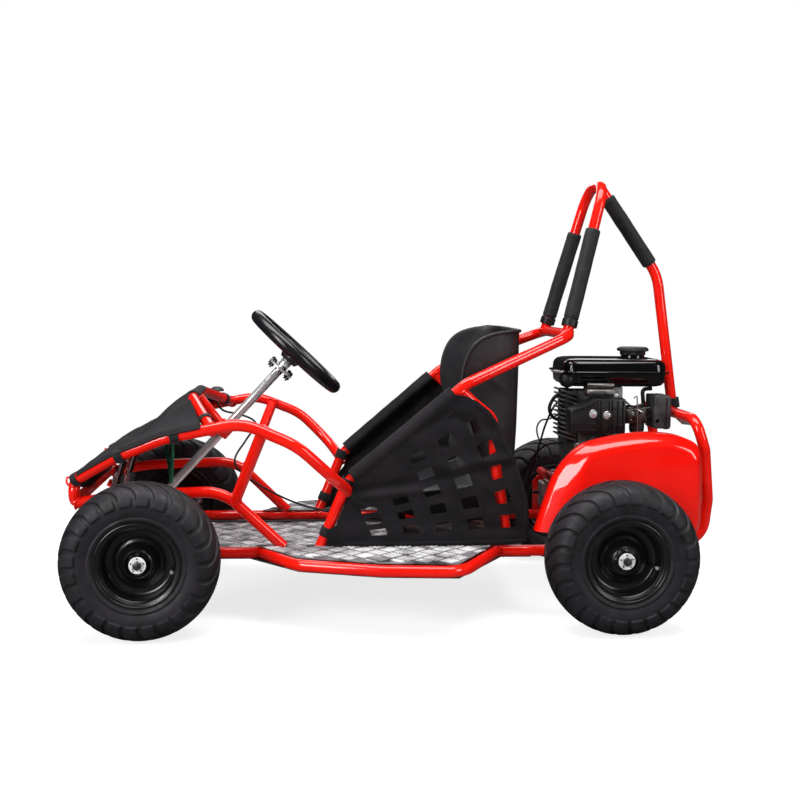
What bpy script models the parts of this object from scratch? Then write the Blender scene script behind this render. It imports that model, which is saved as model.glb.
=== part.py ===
"""Petrol off-road go-kart for one child: bent-tube frame, four wide tyres, bucket seat
with side nets, fabric nose cover, roll hoop with foam pads and a small rear engine.

Metres, +Z up. The kart faces -X and stands on z = 0, with the origin under the middle
of its box. The driver's left is -Y and right is +Y.
"""
import math

import bmesh
import bpy
from mathutils import Matrix, Vector

# Driving dimensions
FRONT_AXLE_X = -0.548
WHEELBASE = 1.016
REAR_AXLE_X = FRONT_AXLE_X + WHEELBASE
AXLE_Z = 0.165
TRACK_HALF = 0.360
TYRE_RADIUS = 0.165
TYRE_HALF_WIDTH = 0.0635
HALF_LENGTH = 0.722

TUBE = 0.0125
TUBE_SIDES = 8
GAP = 0.0003
RAIL_Y = 0.214
RAIL_Z = 0.1475
RAIL_TOP = RAIL_Z + TUBE
NOSE_X = -HALF_LENGTH + TUBE + 0.0030
TAIL_X = HALF_LENGTH - TUBE

KINGPIN_Y = 0.275
STEER_ARM = 0.060
PITMAN_ARM = 0.032
WHEEL_CENTRE = Vector((-0.232, 0.0, 0.582))
COLUMN_TILT = math.radians(47.5)
COLUMN_AXIS = Vector((math.cos(COLUMN_TILT), 0.0, math.sin(COLUMN_TILT)))
COLUMN_RADIUS = 0.0105
COLUMN_BORE = 0.0113
WHEEL_RING = 0.123
WHEEL_GRIP = 0.014

PEDAL_X = -0.655
PEDAL_Z = 0.222
PEDAL_Y = 0.100
PEDAL_BAR = 0.009

AXLE_RADIUS = 0.0125
AXLE_BORE = 0.0131
CRANK_X = 0.500
CRANK_Z = 0.362
CHAIN_Y = -0.120
AXLE_SPROCKET = 0.066
CLUTCH_SPROCKET = 0.024
CHAIN_RADIUS = 0.0035
DISC_Y = 0.120
DISC_RADIUS = 0.075

# Finishes: colour, roughness, metallic
FINISHES = {
    "red_paint": ((0.80, 0.02, 0.01), 0.25, 0.0),
    "black_paint": ((0.015, 0.015, 0.017), 0.25, 0.0),
    "black_plastic": ((0.025, 0.025, 0.028), 0.45, 0.0),
    "black_fabric": ((0.045, 0.043, 0.050), 0.80, 0.0),
    "foam": ((0.020, 0.020, 0.022), 0.65, 0.0),
    "rubber": ((0.030, 0.030, 0.033), 0.70, 0.0),
    "chrome": ((0.75, 0.75, 0.77), 0.12, 1.0),
    "steel": ((0.50, 0.50, 0.52), 0.35, 1.0),
    "alloy": ((0.45, 0.45, 0.47), 0.45, 1.0),
    "diamond_plate": ((0.62, 0.63, 0.65), 0.30, 1.0),
    "red_plastic": ((0.80, 0.02, 0.01), 0.18, 0.0),
}

for old in list(bpy.data.objects):
    bpy.data.objects.remove(old)

PARTS = bpy.data.collections.new("go_kart")
CUTTERS = bpy.data.collections.new("cutters")
bpy.context.scene.collection.children.link(PARTS)
bpy.context.scene.collection.children.link(CUTTERS)


# Helpers

def add(name, data, finish):
    """Put a new object in the parts collection with its own material."""
    colour, roughness, metallic = FINISHES[finish]
    material = bpy.data.materials.new(name)
    material.use_nodes = True
    shader = material.node_tree.nodes["Principled BSDF"]
    shader.inputs["Base Color"].default_value = (*colour, 1.0)
    shader.inputs["Roughness"].default_value = roughness
    shader.inputs["Metallic"].default_value = metallic
    data.materials.clear()
    data.materials.append(material)
    piece = bpy.data.objects.new(name, data)
    PARTS.objects.link(piece)
    return piece


def hide(piece):
    """Move a helper solid to the cutters collection."""
    PARTS.objects.unlink(piece)
    CUTTERS.objects.link(piece)
    piece.hide_render = True
    piece.display_type = "WIRE"


def boolean(piece, others, operation):
    for other in others:
        modifier = piece.modifiers.new(operation.lower(), "BOOLEAN")
        modifier.operation = operation
        modifier.object = other
        hide(other)
    return piece


def union(piece, *others):
    return boolean(piece, others, "UNION")


def cut(piece, *others):
    return boolean(piece, others, "DIFFERENCE")


def aim(piece, direction):
    """Turn a piece so that its own Z axis points along a direction."""
    turn = Vector((0, 0, 1)).rotation_difference(Vector(direction))
    piece.rotation_mode = "QUATERNION"
    piece.rotation_quaternion = turn
    return piece


def smooth(mesh):
    mesh.shade_smooth()
    mesh.set_sharp_from_angle(angle=math.radians(35))


def bend(corners, radius, step=22.0):
    """Points of a tube bent at each inner corner, with arcs of the given radius."""
    corners = [Vector(corner) for corner in corners]
    points = [corners[0]]
    for before, corner, after in zip(corners, corners[1:], corners[2:]):
        inward = (before - corner).normalized()
        outward = (after - corner).normalized()
        turn = math.pi - inward.angle(outward)
        if turn < math.radians(3):
            points.append(corner)
            continue
        room = 0.48 * min((before - corner).length, (after - corner).length)
        run = min(radius * math.tan(turn / 2), room)
        centre = corner + (inward + outward).normalized() * (run / math.sin(turn / 2))
        start = corner + inward * run - centre
        end = corner + outward * run - centre
        count = max(1, math.ceil(math.degrees(turn) / step))
        for i in range(count + 1):
            share = i / count
            arc = start * math.sin((1 - share) * turn) + end * math.sin(share * turn)
            points.append(centre + arc / math.sin(turn))
    points.append(corners[-1])
    return points


def smooth_route(knots, count):
    """A cord's points: a smooth curve through the knots, its two end pieces straight."""
    knots = [Vector(knot) for knot in knots]
    fine = []
    for a, b, c, d in zip(knots, knots[1:], knots[2:], knots[3:]):
        for i in range(12):
            t = i / 12
            fine.append(0.5 * (2 * b + (c - a) * t + (2 * a - 5 * b + 4 * c - d) * t ** 2
                               + (3 * b - a - 3 * c + d) * t ** 3))
    fine.append(knots[-2])
    middle = [fine[round(i * (len(fine) - 1) / (count - 1))] for i in range(count)]
    return [knots[0]] + middle + [knots[-1]]


def tube(name, points, radius, finish, sides=TUBE_SIDES, closed=False):
    """A round bar or tube along a list of points."""
    curve = bpy.data.curves.new(name, "CURVE")
    curve.dimensions = "3D"
    curve.bevel_depth = radius
    curve.bevel_resolution = (sides - 4) // 2
    curve.use_fill_caps = not closed
    spline = curve.splines.new("POLY")
    spline.points.add(len(points) - 1)
    for point, place in zip(spline.points, points):
        point.co = (*place, 1.0)
    spline.use_cyclic_u = closed
    return add(name, curve, finish)


def as_mesh(piece, finish):
    """Replace a curve object with its mesh, so that it can be joined or cut."""
    name = piece.name
    bpy.context.view_layer.update()
    evaluated = piece.evaluated_get(bpy.context.evaluated_depsgraph_get())
    mesh = bpy.data.meshes.new_from_object(evaluated)
    work = bmesh.new()
    work.from_mesh(mesh)
    bmesh.ops.remove_doubles(work, verts=work.verts, dist=0.00001)
    work.to_mesh(mesh)
    work.free()
    place = piece.matrix_world.copy()
    bpy.data.objects.remove(piece)
    solid = add(name, mesh, finish)
    solid.matrix_world = place
    smooth(mesh)
    return solid


def solid_tube(name, points, radius, finish, sides=TUBE_SIDES):
    return as_mesh(tube(name, points, radius, finish, sides), finish)


def cope(piece, *paths, closed=False):
    """Hollow a tube's ends to sit on the tubes that run along the given paths."""
    for i, path in enumerate(paths):
        name = f"{piece.name}_cope_{i}_{len(piece.modifiers)}"
        cutter = tube(name, path, TUBE + GAP, "red_paint", closed=closed)
        cut(piece, as_mesh(cutter, "red_paint"))
    return piece


def mesh_from(name, work, finish):
    mesh = bpy.data.meshes.new(name)
    work.to_mesh(mesh)
    work.free()
    return add(name, mesh, finish)


def box(name, low, high, finish, bevel=0.0):
    low, high = Vector(low), Vector(high)
    size = high - low
    work = bmesh.new()
    bmesh.ops.create_cube(work, size=1.0, matrix=Matrix.Diagonal((*size, 1.0)))
    piece = mesh_from(name, work, finish)
    piece.location = (low + high) / 2
    if bevel:
        modifier = piece.modifiers.new("edges", "BEVEL")
        modifier.width = bevel
        modifier.segments = 1
    return piece


def cylinder(name, centre, direction, radius, length, finish, sides=16):
    work = bmesh.new()
    bmesh.ops.create_cone(work, cap_ends=True, segments=sides, radius1=radius,
                          radius2=radius, depth=length)
    piece = mesh_from(name, work, finish)
    piece.location = centre
    smooth(piece.data)
    return aim(piece, direction)


def turned(name, profile, finish, segments, closed=True):
    """Turn a profile of (radius, height) points about the piece's own Z axis."""
    mesh = bpy.data.meshes.new(name)
    count = len(profile)
    edges = [(i, (i + 1) % count) for i in range(count if closed else count - 1)]
    mesh.from_pydata([(radius, 0, height) for radius, height in profile], edges, [])
    piece = add(name, mesh, finish)
    modifier = piece.modifiers.new("turn", "SCREW")
    modifier.steps = segments
    modifier.render_steps = segments
    modifier.use_merge_vertices = True
    modifier.merge_threshold = 0.00001
    modifier.use_smooth_shade = True
    return piece


def sheet(name, outline, thickness, finish, holes=()):
    """A flat plate in its own XY plane, from its outline and its holes."""
    curve = bpy.data.curves.new(name, "CURVE")
    curve.dimensions = "2D"
    curve.fill_mode = "BOTH"
    curve.extrude = thickness / 2
    for loop in (outline, *holes):
        spline = curve.splines.new("POLY")
        spline.points.add(len(loop) - 1)
        for point, (x, y) in zip(spline.points, loop):
            point.co = (x, y, 0.0, 1.0)
        spline.use_cyclic_u = True
    return add(name, curve, finish)


def upright(piece, y):
    """Stand a flat sheet up: its own X stays X, its own Y becomes Z."""
    piece.location = (0.0, y, 0.0)
    piece.rotation_euler = (math.radians(90), 0.0, 0.0)
    return piece


def surface(name, rows, thickness, finish, offset=1.0):
    """A thin shell over a grid of points."""
    work = bmesh.new()
    grid = [[work.verts.new(point) for point in row] for row in rows]
    for near, far in zip(grid, grid[1:]):
        for i in range(len(near) - 1):
            work.faces.new((near[i], near[i + 1], far[i + 1], far[i]))
    piece = mesh_from(name, work, finish)
    smooth(piece.data)
    modifier = piece.modifiers.new("wall", "SOLIDIFY")
    modifier.thickness = thickness
    modifier.offset = offset
    return piece


def loft(name, rings, finish):
    """A closed solid through rings of equally many points, with flat ends."""
    work = bmesh.new()
    loops = [[work.verts.new(point) for point in ring] for ring in rings]
    for low, high in zip(loops, loops[1:]):
        count = len(low)
        for i in range(count):
            j = (i + 1) % count
            work.faces.new((low[i], low[j], high[j], high[i]))
    work.faces.new(reversed(loops[0]))
    work.faces.new(loops[-1])
    return mesh_from(name, work, finish)


def both_sides():
    """The driver's left and right: a name and the sign of Y."""
    return (("left", -1.0), ("right", 1.0))


def column_point(below):
    """A point on the steering axis, a distance below the steering wheel's centre."""
    return WHEEL_CENTRE - COLUMN_AXIS * below


# Paths of the bent frame tubes, the right-hand ones first and mirrored for the left

RAIL = [(-0.5325, RAIL_Y, RAIL_Z), (0.405, RAIL_Y, RAIL_Z)]
SIDE_BAR = bend([(-0.307, 0.2200, RAIL_Z), (-0.225, 0.338, RAIL_Z), (-0.050, 0.396, RAIL_Z),
                 (0.118, 0.409, RAIL_Z), (0.2225, 0.2200, RAIL_Z)], 0.06)
UPPER_ARCH = bend([(-0.7060, 0.2340, 0.3120), (-0.611, 0.282, 0.3690), (-0.505, 0.312, 0.4135),
                   (-0.340, 0.320, 0.4475), (-0.225, 0.336, 0.4010), (-0.150, 0.310, 0.3290),
                   (-0.1175, 0.2360, 0.2920)], 0.12, 16)
LOWER_ARCH = bend([(-0.7040, 0.2290, 0.2620), (-0.600, 0.225, 0.278), (-0.388, 0.225, 0.286),
                   (-0.2560, 0.2150, 0.1600)], 0.10, 16)
STRUT = [(-0.361, 0.226, 0.266), (-0.2980, 0.3140, 0.4280)]
HOOP_TOP = Vector((-0.464, 0.0, 0.479))
STEERING_HOOP = [(-0.4080, 0.3040, 0.4350), (HOOP_TOP.x, 0.110, HOOP_TOP.z)]
SEAT_HOOP = [(-0.1750, 0.2160, 0.1580), (-0.116, 0.229, 0.305), (0.143, 0.250, 0.527),
             (0.395, 0.152, 0.632)]
SEAT_CRADLE = [(0.1300, 0.2470, 0.5120), (0.162, 0.242, 0.482), (0.203, 0.237, 0.450),
               (0.214, 0.226, 0.340), (0.245, 0.214, RAIL_TOP + GAP + TUBE)]
ROLL_FOOT = Vector((0.392, 0.125, 0.6380))
ROLL_SHOULDER = Vector((0.482, 0.078, 0.981))
BRACE_TOP = Vector((0.486, 0.0, 0.986))
BRACE_CORNER = Vector((0.6365, 0.0, 0.773))
BRACE_FOOT = Vector((0.6850, 0.0, 0.4480))


def mirrored(path, sign):
    return [(x, sign * y, z) for x, y, z in path]


def u_shape(half):
    """The corners of a symmetric tube, from those of its right half, end to middle."""
    return mirrored(half, -1.0) + [tuple(corner) for corner in reversed(half)]


NOSE_HALF = 0.232
NOSE_LOW = 0.265
NOSE_HIGH = 0.305


def nose_loop():
    """A flat loop lying on its side: two straights joined by half circles."""
    corner = (NOSE_HIGH - NOSE_LOW) / 2
    points = []
    for half in (1, -1):
        for i in range(7):
            angle = math.radians(30 * i - 90)
            points.append((NOSE_X, half * (NOSE_HALF - corner + corner * math.cos(angle)),
                           NOSE_LOW + corner * (1 + half * math.sin(angle))))
    return points


NOSE_LOOP = nose_loop()
SEAT_HOOP_PATH = bend(u_shape(SEAT_HOOP), 0.05)


# Floor frame: two rails with the rear axle's hangers, and the bowed side bars

HANGER_FRONT = 0.385
HANGER_REAR = 0.578
HANGER_TOP = 0.250
HANGER_HALF = 0.004
BEARING_RADIUS = 0.034
BEARING_HALF = 0.013
REAR_LOOP = [(HANGER_REAR + GAP, 0.210, 0.165), (0.698, 0.202, 0.165), (TAIL_X, 0.200, 0.260),
             (0.699, 0.200, 0.375), (0.678, 0.195, 0.443)]
REAR_LOOP_PATH = bend(u_shape(REAR_LOOP), 0.05, 30)

for side, sign in both_sides():
    name = f"floor_rail_{side}"
    y = sign * RAIL_Y
    rail = solid_tube(name, mirrored(RAIL, sign), TUBE, "red_paint")
    hanger = box(f"{name}_hanger", (HANGER_FRONT, y - HANGER_HALF, RAIL_Z - TUBE),
                 (HANGER_REAR, y + HANGER_HALF, HANGER_TOP), "red_paint")
    axle = (REAR_AXLE_X, y, AXLE_Z)
    boss = cylinder(f"{name}_boss", axle, (0, 1, 0), BEARING_RADIUS, 2 * BEARING_HALF, "red_paint")
    bore = cylinder(f"{name}_bore", axle, (0, 1, 0), AXLE_BORE, 0.06, "red_paint")
    union(rail, hanger, boss)
    cut(rail, bore)

    bar = solid_tube(f"side_bar_{side}", mirrored(SIDE_BAR, sign), TUBE, "red_paint")
    cope(bar, mirrored(RAIL, sign))

FLOOR_THICKNESS = 0.002
FLOOR_Z = RAIL_Z - TUBE - GAP - FLOOR_THICKNESS / 2
FLOOR_SIDE = [(-0.530, 0.214), (-0.330, 0.214), (-0.222, 0.338), (-0.050, 0.395),
              (0.112, 0.407), (0.232, 0.214), (0.300, 0.214)]
floor_outline = [(x, -y) for x, y in FLOOR_SIDE] + list(reversed(FLOOR_SIDE))
floor = sheet("floor_plate", floor_outline, FLOOR_THICKNESS, "diamond_plate")
floor.location = (0.0, 0.0, FLOOR_Z)


# Nose bar and side frames: upper arch, and lower arch with the strut between them

tube("nose_bumper", NOSE_LOOP, TUBE, "red_paint", closed=True)

for side, sign in both_sides():
    upper = solid_tube(f"upper_arch_{side}", mirrored(UPPER_ARCH, sign), TUBE, "red_paint")
    cope(upper, NOSE_LOOP, closed=True)
    cope(upper, SEAT_HOOP_PATH)

    lower = solid_tube(f"lower_arch_{side}", mirrored(LOWER_ARCH, sign), TUBE, "red_paint")
    union(lower, solid_tube(f"strut_{side}", mirrored(STRUT, sign), TUBE, "red_paint"))
    cope(lower, NOSE_LOOP, closed=True)
    cope(lower, mirrored(RAIL, sign), mirrored(UPPER_ARCH, sign))


# Front axle beam with its yokes, the pedal bar and the column's lower bush

BEAM_RADIUS = 0.015
BEAM_END = 0.243
YOKE_LOW = 0.134
YOKE_HIGH = 0.196
YOKE_PLATE = 0.005
KINGPIN_RADIUS = 0.006
STAY_Y = 0.140
LOWER_BUSH = column_point(0.500)

beam = cylinder("front_axle_beam", (FRONT_AXLE_X, 0, AXLE_Z), (0, 1, 0), BEAM_RADIUS,
                2 * BEAM_END, "red_paint", 10)
beam_parts = []
beam_cutters = []
for side, sign in both_sides():
    x0, x1 = FRONT_AXLE_X - 0.014, FRONT_AXLE_X + 0.014
    near, far = sorted((sign * (BEAM_END - 0.005), sign * (KINGPIN_Y + 0.014)))
    beam_parts.append(box(f"yoke_{side}", (x0, near, YOKE_LOW), (x1, far, YOKE_HIGH), "red_paint"))
    near, far = sorted((sign * (BEAM_END + 0.002), sign * (KINGPIN_Y + 0.020)))
    beam_cutters.append(box(f"yoke_gap_{side}", (x0 - 0.01, near, YOKE_LOW + YOKE_PLATE),
                            (x1 + 0.01, far, YOKE_HIGH - YOKE_PLATE), "red_paint"))
    beam_cutters.append(cylinder(f"kingpin_bore_{side}", (FRONT_AXLE_X, sign * KINGPIN_Y, AXLE_Z),
                                 (0, 0, 1), KINGPIN_RADIUS + 0.0008, 0.09, "red_paint", 12))
    stay = [(FRONT_AXLE_X, sign * STAY_Y, AXLE_Z), (-0.6985, sign * STAY_Y, 0.2470)]
    beam_parts.append(solid_tube(f"stay_{side}", stay, 0.010, "red_paint", 6))
beam_parts.append(cylinder("pedal_bar", (PEDAL_X, 0, PEDAL_Z), (0, 1, 0), PEDAL_BAR,
                           2 * STAY_Y, "red_paint", 10))
beam_parts.append(box("bush_plate", (-0.572, -0.010, 0.172), (-0.548, 0.010, 0.214), "red_paint"))
beam_parts.append(cylinder("lower_bush", LOWER_BUSH, COLUMN_AXIS, 0.018, 0.028, "red_paint", 12))
union(beam, *beam_parts)
cut(beam, *beam_cutters)
cut(beam, cylinder("lower_bush_bore", LOWER_BUSH, COLUMN_AXIS, COLUMN_BORE, 0.09, "red_paint", 12))
cope(beam, NOSE_LOOP, closed=True)


# Steering hoop with the column's upper bush

UPPER_BUSH = column_point(0.250)

steering_hoop = solid_tube("steering_hoop", bend(u_shape(STEERING_HOOP), 0.10), TUBE, "red_paint")
bush_stem = solid_tube("bush_stem", [tuple(HOOP_TOP), tuple(UPPER_BUSH)], 0.011, "red_paint")
bush = cylinder("upper_bush", UPPER_BUSH, COLUMN_AXIS, 0.019, 0.034, "red_paint", 12)
union(steering_hoop, bush_stem, bush)
cut(steering_hoop, cylinder("upper_bush_bore", UPPER_BUSH, COLUMN_AXIS, COLUMN_BORE, 0.09,
                            "red_paint", 12))
cope(steering_hoop, UPPER_ARCH, mirrored(UPPER_ARCH, -1))


# Seat hoop, seat cradle, roll cage and rear loop

seat_hoop = solid_tube("seat_hoop", SEAT_HOOP_PATH, TUBE, "red_paint")
cope(seat_hoop, RAIL, mirrored(RAIL, -1))

cradle = solid_tube("seat_cradle", bend(u_shape(SEAT_CRADLE), 0.04), TUBE, "red_paint")
cope(cradle, SEAT_HOOP_PATH)

roll_cage = solid_tube("roll_cage", bend(u_shape([tuple(ROLL_FOOT), tuple(ROLL_SHOULDER)]), 0.065),
                       TUBE, "red_paint")
brace = solid_tube("roll_brace", bend([BRACE_TOP, BRACE_CORNER, BRACE_FOOT], 0.12), TUBE, "red_paint")
union(roll_cage, brace)
cope(roll_cage, SEAT_HOOP_PATH, REAR_LOOP_PATH)

tube("rear_loop", REAR_LOOP_PATH, TUBE, "red_paint")


# Foam pads round the roll cage

PAD_RADIUS = 0.018
PAD_BORE = 0.0131


def pad(name, start, end):
    length = (end - start).length
    half = length / 2
    piece = turned(name, [(PAD_RADIUS - 0.002, half), (PAD_RADIUS, half - 0.003),
                          (PAD_RADIUS, -half + 0.003), (PAD_RADIUS - 0.002, -half),
                          (PAD_BORE, -half), (PAD_BORE, half)], "foam", 16)
    piece.location = (start + end) / 2
    return aim(piece, end - start)


for side, sign in both_sides():
    foot = Vector((ROLL_FOOT.x, sign * ROLL_FOOT.y, ROLL_FOOT.z))
    shoulder = Vector((ROLL_SHOULDER.x, sign * ROLL_SHOULDER.y, ROLL_SHOULDER.z))
    pad(f"roll_pad_{side}", foot.lerp(shoulder, 0.085), foot.lerp(shoulder, 0.690))
pad("brace_pad", BRACE_TOP.lerp(BRACE_CORNER, 0.150), BRACE_TOP.lerp(BRACE_CORNER, 0.880))


# Steering wheel and column with its pitman arm

HUB_DROP = 0.014
bpy.ops.mesh.primitive_torus_add(major_radius=WHEEL_RING, minor_radius=WHEEL_GRIP,
                                 major_segments=24, minor_segments=6)
ring_mesh = bpy.context.object.data
bpy.data.objects.remove(bpy.context.object)
ring = add("steering_wheel", ring_mesh, "black_plastic")
ring.location = WHEEL_CENTRE
aim(ring, COLUMN_AXIS)
smooth(ring_mesh)
wheel_parts = [cylinder("wheel_hub", column_point(HUB_DROP), COLUMN_AXIS, 0.032, 0.016,
                        "black_plastic")]
wheel_turn = Vector((0, 0, 1)).rotation_difference(COLUMN_AXIS)
for i in range(3):
    angle = math.radians(120 * i)
    outward = wheel_turn @ Vector((math.cos(angle), math.sin(angle), 0))
    inner = column_point(HUB_DROP) + outward * 0.020
    outer = WHEEL_CENTRE + outward * WHEEL_RING
    spoke = box(f"spoke_{i}", (-0.002, -0.011, -0.5), (0.002, 0.011, 0.5), "black_plastic")
    length = (outer - inner).length
    spoke.data.transform(Matrix.Diagonal((1, 1, length, 1)))
    frame = Matrix((COLUMN_AXIS, outward.cross(COLUMN_AXIS), (outer - inner).normalized()))
    frame[0] = frame[1].cross(frame[2])
    spoke.matrix_world = Matrix.Translation((inner + outer) / 2) @ frame.transposed().to_4x4()
    wheel_parts.append(spoke)
union(ring, *wheel_parts)

COLUMN_TOP = HUB_DROP + 0.008 + GAP
COLUMN_FOOT = 0.520
PITMAN_DEPTH = 0.468
column_centre = column_point((COLUMN_TOP + COLUMN_FOOT) / 2)
column = cylinder("steering_column", column_centre, COLUMN_AXIS, COLUMN_RADIUS,
                  COLUMN_FOOT - COLUMN_TOP, "chrome", 16)
flange = cylinder("column_flange", column_point(COLUMN_TOP + 0.003), COLUMN_AXIS, 0.026, 0.006,
                  "chrome")
clamp = cylinder("column_clamp", column_point(COLUMN_TOP + 0.021), COLUMN_AXIS, 0.0155, 0.024,
                 "chrome", 12)
PITMAN_WAY = Vector((COLUMN_AXIS.z, 0.0, -COLUMN_AXIS.x))
pitman = box("pitman_arm", (-0.014, -0.011, -0.003), (PITMAN_ARM + 0.010, 0.011, 0.003), "chrome")
pitman.data.transform(Matrix.Translation(pitman.location))
pitman.matrix_world = (Matrix.Translation(column_point(PITMAN_DEPTH))
                       @ Matrix((PITMAN_WAY, (0, 1, 0), COLUMN_AXIS)).transposed().to_4x4())
union(column, flange, clamp, pitman)


# Spindles, tie rods and front wheels

BARREL_HALF = 0.0255
BARREL_RADIUS = 0.012
STUB_RADIUS = 0.0075
STUB_BORE = 0.0082
STUB_END = 0.400
ARM_LOW = 0.166
ARM_HIGH = 0.172
ARM_END = Vector((FRONT_AXLE_X + STEER_ARM, 0.262, 0.0))
TIE_Z = 0.180
PITMAN_END = column_point(PITMAN_DEPTH) + PITMAN_WAY * PITMAN_ARM

for side, sign in both_sides():
    pivot = (FRONT_AXLE_X, sign * KINGPIN_Y, AXLE_Z)
    name = f"spindle_{side}"
    spindle = cylinder(name, pivot, (0, 0, 1), BARREL_RADIUS, 2 * BARREL_HALF, "steel", 12)
    pin = cylinder(f"{name}_pin", pivot, (0, 0, 1), KINGPIN_RADIUS, 0.074, "steel", 12)
    stub = cylinder(f"{name}_stub", (FRONT_AXLE_X, sign * (KINGPIN_Y + STUB_END) / 2, AXLE_Z),
                    (0, 1, 0), STUB_RADIUS, STUB_END - KINGPIN_Y, "steel", 12)
    nut = cylinder(f"{name}_nut", (FRONT_AXLE_X, sign * 0.3975, AXLE_Z), (0, 1, 0), 0.0160, 0.013,
                   "steel", 12)
    collar = cylinder(f"{name}_collar", (FRONT_AXLE_X, sign * 0.3050, AXLE_Z), (0, 1, 0), 0.0130,
                      0.030, "steel", 12)
    low = (FRONT_AXLE_X, min(sign * 0.255, sign * 0.269), ARM_LOW)
    high = (FRONT_AXLE_X + STEER_ARM + 0.009, max(sign * 0.255, sign * 0.269), ARM_HIGH)
    arm = box(f"{name}_arm", low, high, "steel")
    arm_hole = cylinder(f"{name}_arm_hole", (ARM_END.x, sign * ARM_END.y, ARM_LOW), (0, 0, 1),
                        0.0046, 0.03, "steel", 12)
    union(spindle, pin, stub, nut, collar, arm)
    cut(spindle, arm_hole)

    outer = Vector((ARM_END.x, sign * ARM_END.y, TIE_Z))
    inner = Vector((PITMAN_END.x + 0.006, sign * 0.008, 0.190))
    name = f"tie_rod_{side}"
    rod = solid_tube(name, [inner, outer], 0.0055, "steel")
    eye = cylinder(f"{name}_eye", outer, (0, 0, 1), 0.0095, 0.013, "steel", 12)
    stud = cylinder(f"{name}_stud", (outer.x, outer.y, ARM_LOW + 0.006), (0, 0, 1), 0.0036, 0.020,
                    "steel", 8)
    union(rod, eye, stud)

RIM_SIDES = 16
TYRE_SIDES = 20
RIM_LIP = 0.0885
RIM_WELL = 0.0780
TYRE_FIT = RIM_WELL + 0.0012


def rim_profile(bore):
    """The wheel's section: two lips, the well, the dished disc and the hub."""
    return [(RIM_LIP, 0.0540), (RIM_LIP, 0.0505), (RIM_WELL, 0.0430), (RIM_WELL, -0.0430),
            (RIM_LIP, -0.0505), (RIM_LIP, -0.0540), (0.0745, -0.0460), (0.0740, -0.0020),
            (0.0225, 0.0010), (0.0225, -0.0340), (bore, -0.0340), (bore, 0.0300),
            (0.0225, 0.0300), (0.0240, 0.0150), (0.0735, 0.0080), (0.0745, 0.0460)]


TYRE_OUTER = [(TYRE_FIT, 0.0425), (0.1220, TYRE_HALF_WIDTH), (0.1570, 0.0500),
              (TYRE_RADIUS, 0.0180)]
TYRE_INNER = [(TYRE_FIT, 0.0340), (0.1380, 0.0500)]


def tyre_profile():
    under = [(radius, -height) for radius, height in reversed(TYRE_OUTER)]
    inside = [(radius, -height) for radius, height in TYRE_INNER]
    return TYRE_OUTER + under + inside + list(reversed(TYRE_INNER))


for end, axle_x, bore in (("front", FRONT_AXLE_X, STUB_BORE), ("rear", REAR_AXLE_X, AXLE_BORE)):
    for side, sign in both_sides():
        for kind, profile, finish, segments in (("rim", rim_profile(bore), "black_paint", RIM_SIDES),
                                                ("tyre", tyre_profile(), "rubber", TYRE_SIDES)):
            wheel = turned(f"{end}_{kind}_{side}", profile, finish, segments)
            wheel.location = (axle_x, sign * TRACK_HALF, AXLE_Z)
            wheel.rotation_euler = (math.radians(-90 * sign), 0, 0)


# Rear axle, sprocket, brake and chain

rear_axle = cylinder("rear_axle", (REAR_AXLE_X, 0, AXLE_Z), (0, 1, 0), AXLE_RADIUS, 0.800, "steel", 16)
axle_parts = []
for side, sign in both_sides():
    axle_parts.append(cylinder(f"axle_nut_{side}", (REAR_AXLE_X, sign * 0.3965, AXLE_Z), (0, 1, 0),
                               0.0185, 0.0110, "steel", 12))
union(rear_axle, *axle_parts)


def axle_plate(name, y, radius, half, finish):
    """A plate on a hub, both bored for the rear axle."""
    piece = turned(name, [(radius, half), (radius, -half), (0.028, -half), (0.028, -0.020),
                          (AXLE_BORE, -0.020), (AXLE_BORE, 0.020), (0.028, 0.020), (0.028, half)],
                   finish, 20)
    piece.location = (REAR_AXLE_X, y, AXLE_Z)
    return aim(piece, (0, 1, 0))


axle_plate("axle_sprocket", CHAIN_Y, AXLE_SPROCKET - CHAIN_RADIUS - 0.001, 0.0025, "steel")
axle_plate("brake_disc", DISC_Y, DISC_RADIUS, 0.0020, "steel")

caliper = box("brake_caliper", (0.385, DISC_Y - 0.022, 0.186), (0.425, DISC_Y + 0.022, 0.2503),
              "alloy", 0.003)
cut(caliper, box("caliper_slot", (0.380, DISC_Y - 0.0035, 0.176), (0.440, DISC_Y + 0.0035, 0.236),
                 "alloy"))


def chain_loop(low, low_radius, high, high_radius, count=11):
    """Points of a loop drawn tight round two circles in the XZ plane."""
    way = (high - low).normalized()
    lean = math.atan2(way.z, way.x)
    spread = math.acos((low_radius - high_radius) / (high - low).length)
    points = []
    for i in range(count):
        angle = lean + spread + (2 * math.pi - 2 * spread) * i / (count - 1)
        points.append(low + low_radius * Vector((math.cos(angle), 0, math.sin(angle))))
    for i in range(count // 2 + 1):
        angle = lean - spread + 2 * spread * i / (count // 2)
        points.append(high + high_radius * Vector((math.cos(angle), 0, math.sin(angle))))
    return points


chain = chain_loop(Vector((REAR_AXLE_X, CHAIN_Y, AXLE_Z)), AXLE_SPROCKET,
                   Vector((CRANK_X, CHAIN_Y, CRANK_Z)), CLUTCH_SPROCKET)
tube("drive_chain", chain, CHAIN_RADIUS, "steel", 6, closed=True)

CLUTCH_BORE = 0.0095
clutch_teeth = CLUTCH_SPROCKET - CHAIN_RADIUS - 0.001
clutch = turned("clutch_drum", [(clutch_teeth, 0.018), (clutch_teeth, 0.004), (0.038, 0.004),
                                (0.038, -0.020), (CLUTCH_BORE, -0.020), (CLUTCH_BORE, 0.018)],
                "steel", 20)
clutch.location = (CRANK_X, CHAIN_Y + 0.010, CRANK_Z)
aim(clutch, (0, -1, 0))


# Engine mount: two cross tubes on the hangers, and the plate

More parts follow.
